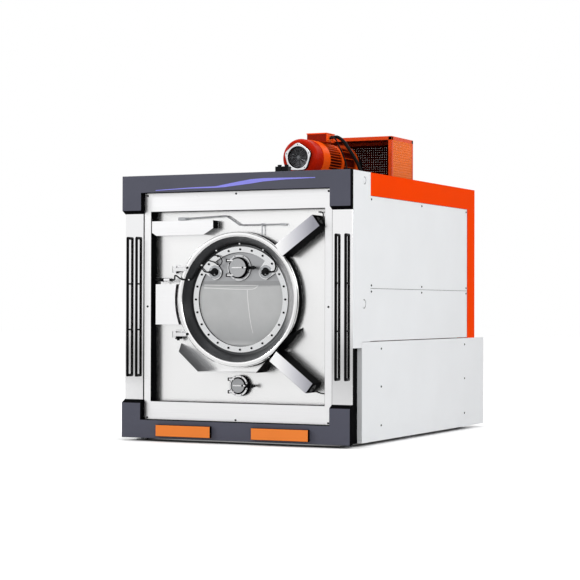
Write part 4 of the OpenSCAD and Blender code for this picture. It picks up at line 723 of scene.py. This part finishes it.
# light lines on the glass: across, up and width of each point
glassLineDepth = 175.7   # just before the glass
glassLines = (((-408, 1554, 7), (-200, 1551, 8), (68, 1549, 7), (176, 1548, 5)),
             ((-408, 1526, 9), (-240, 1519, 9), (-60, 1511, 7), (68, 1509, 6), (128, 1512, 7), (158, 1520, 7),
              (180, 1538, 6), (190, 1552, 5)),
             ((72, 1504, 9), (74, 1440, 8), (82, 1357, 8), (100, 1230, 7), (118, 1140, 5), (134, 1080, 3)))
bm = bmesh.new()
for line in glassLines:
    pairs = []
    for k, (x, z, width) in enumerate(line):
        ahead = line[min(k + 1, len(line) - 1)]
        behind = line[max(k - 1, 0)]
        way = Vector((ahead[0] - behind[0], ahead[1] - behind[1])).normalized()
        pairs.append([(x - way.y * width * s / 2, glassLineDepth, z + way.x * width * s / 2) for s in (-1, 1)])
    addRibbon(bm, pairs)
newPiece("glass_light_lines", bm, ["glassLine"], "door", (), 50)

# white plugs that close the lifting holes in the claddings
plug = {"across": 1250, "places": ((342, 2557, 32), (336, 1370, 39)), "steps": 40}
turns = [2 * math.pi * k / plug["steps"] for k in range(plug["steps"])]
bm = bmesh.new()
for side in (-1, 1):
    for y, z, r in plug["places"]:
        rings = []
        for size, sink in ((r, 14), (r, 4), (r - 3, 1.5), (r - 8, 1), (0.5, 1)):
            rings.append([bm.verts.new(spot(side * (plug["across"] - sink), y + size * math.cos(turn),
                                            z + size * math.sin(turn))) for turn in turns])
        joinRings(bm, rings, [0] * 4)
        bm.faces.new(rings[-1])
newPiece("cladding_plugs", bm, ["white"], "root", (), 40)
print("portholes and plugs made")


# fascias: folded skins with dark returns, softened edges and a plain stripe on the upper one
fascia = {"halfWidth": 1250, "capIn": 1034, "depth": 73, "edge": 4.5}


def makeFascia(name, node, band, capEdge, slope):
    outer, inner = fascia["halfWidth"], fascia["capIn"]
    low, high = band
    outside, inside = (high, low) if capEdge < low else (low, high)
    loop = [(-outer, outside), (outer, outside), (outer, capEdge), (inner, capEdge), (inner, inside), (-inner, inside),
            (-inner, capEdge), (-outer, capEdge)]
    bm = bmesh.new()
    addLoft(bm, [spot(x, 0, z) for x, z in loop],
            [spot(x, fascia["depth"], z + (slope if z == capEdge else 0)) for x, z in loop], 0, 1)
    soften(newPiece(name, bm, ["slate", "return"], "root", [node]), fascia["edge"], 3)


makeFascia("upper_fascia_skin", "upper_fascia", (2474, 2644), 2298, -39)
makeFascia("lower_fascia_skin", "lower_fascia", (30, 212), 379, 38)

# across, up and width of the stripe at its turning points
stripe = ((-866, 2494, 6), (-494, 2508, 10), (-188, 2511, 15), (-100, 2520, 26), (60, 2540, 36), (200, 2556, 42),
          (330, 2567, 32), (565, 2573, 17), (884, 2574, 7))
bm = bmesh.new()
pairs = []
for (x0, z0, w0), (x1, z1, w1) in zip(stripe, stripe[1:]):
    for t in (k / 12 for k in range(13)):
        x, z, half = (a + (b - a) * t for a, b in ((x0, x1), (z0, z1), (w0 / 2, w1 / 2)))
        pairs.append(((x, -0.5, z - half), (x, -0.5, z + half)))
addRibbon(bm, pairs)
newPiece("fascia_stripe", bm, ["stripe"], "root")

# the lids' sides are black: painted shade
pocket = {"centres": (-532, 527), "width": 611, "low": 54, "high": 168, "out": 40, "edge": 5}
bm = bmesh.new()
for x in pocket["centres"]:
    half = pocket["width"] / 2
    addSlab(bm, oblong(x - half, x + half, pocket["low"], pocket["high"]), -pocket["out"], -0.2, 0, 1)
soften(newPiece("fork_pocket_lids", bm, ["pocket", "return"], "root", ["fork_pocket_covers"]), pocket["edge"], 3)
print("fascias made")

# column covers with a rounded outer corner, black returns of the surround that paint the shade in the recess, dark
# strips that paint the shade in the side gaps
column = {"x": (1038, 1247), "y": (60, 73), "round": 10, "z": (404, 2270)}
bm = bmesh.new()
for side in (-1, 1):
    x0, x1 = column["x"]
    y0, y1 = column["y"]
    outline = [(x0, y1), (x0, y0)]
    for k in range(9):
        angle = math.radians(90 * k / 8)
        outline.append((x1 - column["round"] * (1 - math.sin(angle)), y0 + column["round"] * (1 - math.cos(angle))))
    outline.append((x1, y1))
    addLoft(bm, *([spot(side * x, y, z) for x, y in outline] for z in column["z"]))
newPiece("column_cover_skins", bm, ["column"], "root", ["column_covers"], 30)

recess = {"half": 956.6, "low": 393.4, "high": 2286.6, "front": 70.8, "back": 183.4, "sheet": 1.4}
bm = bmesh.new()
half, low, high, sheet = (recess[k] for k in ("half", "low", "high", "sheet"))
for edges in ((-half, -half + sheet, low, high), (half - sheet, half, low, high), (-half, half, low, low + sheet),
              (-half, half, high - sheet, high)):
    addSlab(bm, oblong(*edges), recess["front"], recess["back"])
newPiece("surround_painted_shade_returns", bm, ["return"], "root")

gapShade = {"across": (1228, 1245), "strips": ((488.3, 493.7, 1010, 2418), (494, 3210, 1518.2, 1521.8),
                                          (489, 3210, 2417.6, 2419.8), (3211, 3213, 1010, 2418))}
bm = bmesh.new()
for y0, y1, z0, z1 in gapShade["strips"]:
    for side in (-1, 1):
        x0, x1 = sorted(side * x for x in gapShade["across"])
        addBox(bm, (x0, y0, z0), (x1, y1, z1))
newPiece("panel_gap_painted_shade", bm, ["rubber"], "root")
print("columns and returns made")


# belt guard: angle frame, roof sheet and three walls of fine perforated sheet
guard = {"x": (-420, 659), "y": (2450, 3070), "z": (2636, 3190), "rail": 40, "skin": 5, "sheet": 2, "pitch": 26,
         "hole": 3.6}   # holes drawn far wider apart than in the real sheet, so that they show


# a sheet of square holes between two corners of a plane, given by an origin and two directions
def addPerforated(bm, origin, across, upward, width, height, border):
    pitch, hole = guard["pitch"], guard["hole"]
    nx = int((width - 2 * border) / pitch)
    nz = int((height - 2 * border) / pitch)
    startX = (width - nx * pitch) / 2
    startZ = (height - nz * pitch) / 2
    gap = (pitch - hole) / 2
    xs = [0.0] + [startX + i * pitch + side for i in range(nx) for side in (gap, gap + hole)] + [width]
    zs = [0.0] + [startZ + i * pitch + side for i in range(nz) for side in (gap, gap + hole)] + [height]
    grid = [[bm.verts.new(origin + (across * x + upward * z) / 1000) for z in zs] for x in xs]
    for i in range(len(xs) - 1):
        for k in range(len(zs) - 1):
            if i % 2 == 0 or k % 2 == 0:
                bm.faces.new((grid[i][k], grid[i + 1][k], grid[i + 1][k + 1], grid[i][k + 1]))


gx, gy, gz = guard["x"], guard["y"], guard["z"]
bm = bmesh.new()
depth, tall, border = gy[1] - gy[0], gz[1] - gz[0], guard["rail"] + 4
toRight, toBack, upward = Vector((1, 0, 0)), Vector((0, 1, 0)), Vector((0, 0, 1))
addPerforated(bm, spot(gx[0] + 2, gy[1], gz[0]), -toBack, upward, depth, tall, border)
addPerforated(bm, spot(gx[1] - 2, gy[0], gz[0]), toBack, upward, depth, tall, border)
addPerforated(bm, spot(gx[1], gy[1] - 2, gz[0]), -toRight, upward, gx[1] - gx[0], tall, border)
walls = newPiece("guard_perforated_walls", bm, ["guardMesh", "guardInsideShade"], "root", ["belt_guard"], 30, faceOut=False)
thickness = walls.modifiers.new("thickness", "SOLIDIFY")
thickness.thickness = guard["sheet"] / 1000
thickness.offset = 0
# the inner shell takes the dark inside finish: painted shade
thickness.material_offset = 1
thickness.material_offset_rim = 0

rail, skin = guard["rail"], guard["skin"]


# an angle section with its corner at a point and its legs to the right or left and up or down
def angleSection(x, z, right, up):
    return [(x + right * a, z + up * b)
            for a, b in ((0, 0), (rail, 0), (rail, skin), (skin, skin), (skin, rail), (0, rail))]


bm = bmesh.new()
for x in gx:
    inward = 1 if x < 0 else -1
    for y in gy:
        corner = angleSection(x, y, inward, 1 if y == gy[0] else -1)
        addLoft(bm, *([spot(a, b, z) for a, b in corner] for z in (gz[0], gz[1] - skin)))
    for z in gz:
        addSlab(bm, angleSection(x, z, inward, 1 if z == gz[0] else -1), gy[0] + 0.4, gy[1] - 0.4)
addBox(bm, (gx[0] + 1, gy[0] + 1, gz[1] - skin), (gx[1] - 1, gy[1] - 1, gz[1]))
addBox(bm, (gx[0] + 1, gy[0], gz[1] - rail), (gx[1] - 1, gy[0] + 6, gz[1] - 0.4))
addBox(bm, (gx[0] + 1, gy[1] - 6, gz[1] - rail), (gx[1] - 1, gy[1], gz[1] - 0.4))
soften(newPiece("guard_angle_frame", bm, ["guardFrame"], "root"), 1.5)
print("belt guard made")


# motor: turned cowl with the five-lobed fan ring and its grille
motor = {"front": 1500, "radius": 200, "cowl": 190, "bend": 45, "opening": 116, "ringOut": 135, "lobe": 16,
         "ringDepth": 32, "lobes": 5, "wires": 7, "wireIn": 26, "wireStep": 14.5, "spokes": 6, "vanes": 9,
         "boltCircle": 134, "wall": 4}
fanAt = (0, motorMm)
bm = bmesh.new()
front, radius, bend = motor["front"], motor["radius"], motor["bend"]
section = [(motor["opening"], front + 4, 0), (motor["opening"], front, 0)]
wall, inner = motor["wall"], bend - motor["wall"]
turns = [math.radians(90 * k / 12) for k in range(13)]
section += [(radius - bend + bend * math.sin(turn), front + bend - bend * math.cos(turn), 0) for turn in turns]
section += [(radius, front + motor["cowl"], 0), (radius - wall, front + motor["cowl"], 0),
            (radius - wall, front + bend, 0)]
section += [(radius - bend + inner * math.sin(turn), front + bend - inner * math.cos(turn), 0)
            for turn in reversed(turns)]
addLathe(bm, fanAt, section, steps=128)
newPiece("fan_cowl_pressing", bm, ["cowlShadedRed"], "root", ["motor_cowl"], 40)


def lobed(angle, extra=0.0):
    swell = 0.5 + 0.5 * math.cos(motor["lobes"] * (angle - math.pi / 2))
    return motor["ringOut"] + extra + motor["lobe"] * swell ** 1.6


bm = bmesh.new()
steps = 180
turns = [2 * math.pi * k / steps for k in range(steps)]
reach, bore = motor["ringDepth"], motor["opening"]
loops = []
for sizes, ahead in (([bore] * steps, 0), ([bore] * steps, reach - 2), ([bore + 2] * steps, reach),
                     ([lobed(turn, -2.5) for turn in turns], reach), ([lobed(turn) for turn in turns], reach - 2.5),
                     ([lobed(turn) for turn in turns], 0)):
    loops.append([bm.verts.new(spot(*onCircle(fanAt, size, turn, front - ahead))) for size, turn in zip(sizes, turns)])
# the bore, the outer side and the back are black: painted shade
joinRings(bm, loops, (2, 0, 0, 0, 2, 2), closed=True)
for k in range(motor["lobes"]):
    angle = math.pi / 2 + 2 * math.pi * k / motor["lobes"]
    addBolt(bm, onCircle(fanAt, motor["boltCircle"], angle, front - reach), (0, -1, 0), 5.5, 2.5, finish=1, sides=20)
newPiece("fan_ring", bm, ["lipMotor", "darkBolt", "return"], "root", (), 30)

bm = bmesh.new()
wireHalf = 1.6
for k in range(motor["wires"]):
    r = motor["wireIn"] + k * motor["wireStep"]
    addLathe(bm, fanAt, [(r - wireHalf, front - 9, 0), (r + wireHalf, front - 9, 0), (r + wireHalf, front - 12, 0),
                         (r - wireHalf, front - 12, 0)], steps=72)
for k in range(motor["spokes"]):
    angle = 2 * math.pi * k / motor["spokes"]
    addTube(bm, [onCircle(fanAt, size, angle, front - 9) for size in (18, 117)], 2.0, sides=8)
hub = [(0, front - 13, 0), (18, front - 12, 0), (20, front - 9, 0), (20, front - 6, 0), (0, front - 6, 0)]
addLathe(bm, fanAt, hub, steps=48, closed=False)
newPiece("fan_grille", bm, ["grille"], "root", (), 40)

bm = bmesh.new()
for k in range(motor["vanes"]):
    a = 2 * math.pi * k / motor["vanes"]
    b = a + 0.52   # the turn that one vane takes up
    outline = [(30, a, 6), (108, a + 0.06, 6), (108, b + 0.06, 34), (30, b, 30)]
    corners = [spot(*onCircle(fanAt, size, turn, front + behind)) for size, turn, behind in outline]
    addLoft(bm, corners, [p + Vector((0, 0.003, 0)) for p in corners])
boss = [(0, front + 4, 0), (26, front + 5, 0), (32, front + 12, 0), (32, front + 60, 0), (0, front + 60, 0)]
backPlate = [(0, front + 70, 0), (185, front + 70, 0), (185, front + 74, 0), (0, front + 74, 0)]
for outline in (boss, backPlate):
    addLathe(bm, fanAt, outline, steps=48, closed=False)
newPiece("fan_wheel", bm, ["grille"], "motor_rotor", (), 40)

terminal = {"x": (-85, 145), "y": (1878, 2088), "z": (3100, 3184), "lid": 12}
bm = bmesh.new()
tx, ty, tz = terminal["x"], terminal["y"], terminal["z"]
# the front face takes the shaded copy of the enamel: painted shade
addSlab(bm, oblong(*tx, *tz), *ty, 1, 0)
addBox(bm, (tx[0] - 5, ty[0] - 5, tz[1]), (tx[1] + 5, ty[1] + 5, tz[1] + terminal["lid"]))
for y in (ty[0] + 30, ty[1] - 30):
    addBox(bm, (tx[1] - 6, y - 24, tz[0] + 14), (tx[1] + 10, y + 24, tz[1] - 12))
soften(newPiece("terminal_box_casting", bm, ["motor", "motorShadedFace"], "root", ["terminal_box"]), 4, 3)
bm = bmesh.new()
for y, z, size in ((1980, 3152, 20), (1940, 3140, 12)):
    addTube(bm, [(tx[1] + 9, y, z), (tx[1] + 24, y, z)], size * 0.9, 6)
    addTube(bm, [(tx[1] + 24, y, z), (186, y, z)], size * 0.8, 24)
newPiece("terminal_glands", bm, ["plastic"], "root", (), 40)
print("motor made")


# camera, light and floor
cameraFrom = {"place": (8.14691539, -15.67881205 - midY, 1.34184228), "yaw": 25.64337, "pitch": 0.52560,
              "roll": 0.14064, "lens": 112.57}
cameraData = bpy.data.cameras.new("camera")
cameraData.lens = cameraFrom["lens"]
cameraData.sensor_width = 36
camera = bpy.data.objects.new("camera", cameraData)
bpy.context.collection.objects.link(camera)
turn = (Matrix.Rotation(math.radians(cameraFrom["yaw"]), 4, "Z")
        @ Matrix.Rotation(math.radians(90 + cameraFrom["pitch"]), 4, "X")
        @ Matrix.Rotation(math.radians(cameraFrom["roll"]), 4, "Z"))
camera.matrix_world = Matrix.Translation(cameraFrom["place"]) @ turn
bpy.context.scene.camera = camera
bpy.context.scene.view_settings.view_transform = "Standard"

studio = {"sky": 0.50, "key": 900, "fill": 330, "front": 320, "top": 160}
world = bpy.data.worlds.new("studio")
world.use_nodes = True
worldTree = world.node_tree
worldTree.nodes.clear()
rays = addNode(worldTree, "ShaderNodeLightPath")
seen = addNode(worldTree, "ShaderNodeMath", {0: rays.outputs["Is Camera Ray"], 1: rays.outputs["Is Glossy Ray"]},
               operation="MAXIMUM")
seen = addNode(worldTree, "ShaderNodeMath", {0: seen, 1: rays.outputs["Is Transmission Ray"]},
               operation="MAXIMUM")
level = addNode(worldTree, "ShaderNodeMapRange", {"Value": seen, "To Min": studio["sky"], "To Max": 1.0})
sky = addNode(worldTree, "ShaderNodeBackground", {"Color": (1, 1, 1, 1), "Strength": level})
addNode(worldTree, "ShaderNodeOutputWorld", {"Surface": sky})
bpy.context.scene.world = world


def softBox(name, place, target, size, power):
    data = bpy.data.lights.new(name, "AREA")
    data.shape = "RECTANGLE"
    data.size, data.size_y = size
    data.energy = power
    lamp = bpy.data.objects.new(name, data)
    bpy.context.collection.objects.link(lamp)
    lamp.location = place
    lamp.rotation_euler = (Vector(target) - Vector(place)).to_track_quat("-Z", "Y").to_euler()


softBox("key", (-14.0, -11.0, 8.0), (0, -1.5, 1.4), (2.4, 2.0), studio["key"])
softBox("fill", (12.0, -1.0, 5.0), (1.2, 0.2, 1.4), (6.0, 5.0), studio["fill"])
softBox("front", (9.0, -14.0, 6.0), (1.2, -1.0, 1.2), (6.0, 4.0), studio["front"])
softBox("top", (0.5, -0.5, 8.0), (0, 0, 2.6), (5.0, 5.0), studio["top"])

# the floor is white to the camera and keeps a share of the shadow; its glow fades near the machine, which paints a
# darker contact shade there
floorMaterial, tree, place = startMaterial("studio_floor")
mottle = addNode(tree, "ShaderNodeTexNoise", {"Vector": place, "Scale": 0.8})
tint = addNode(tree, "ShaderNodeValToRGB", {"Fac": mottle.outputs["Fac"]},
               [(0.3, (0.90, 0.90, 0.90, 1.0)), (0.7, (0.94, 0.94, 0.94, 1.0))])
matt = addNode(tree, "ShaderNodeBsdfDiffuse", {"Color": tint})
nearness = addNode(tree, "ShaderNodeAmbientOcclusion", {"Distance": 0.45}, samples=8)
openness = addNode(tree, "ShaderNodeMath", {0: nearness.outputs["AO"], 1: 1.6}, operation="POWER")
floorRays = addNode(tree, "ShaderNodeLightPath")
share = addNode(tree, "ShaderNodeMath", {0: floorRays.outputs["Is Camera Ray"], 1: openness}, operation="MULTIPLY")
share = addNode(tree, "ShaderNodeMath", {0: share, 1: 0.62}, operation="MULTIPLY")
glow = addNode(tree, "ShaderNodeEmission", {"Color": (1, 1, 1, 1), "Strength": share})
endMaterial(tree, addNode(tree, "ShaderNodeAddShader", {0: matt, 1: glow}))
floorMesh = bpy.data.meshes.new("floor")
half, drop = 60, -0.0005
floorMesh.from_pydata([(x, y, drop) for x, y in oblong(-half, half, -half, half)], [], [(0, 1, 2, 3)])
floor = bpy.data.objects.new("floor", floorMesh)
floorMesh.materials.append(floorMaterial)
bpy.context.collection.objects.link(floor)
print("camera, light and floor made")
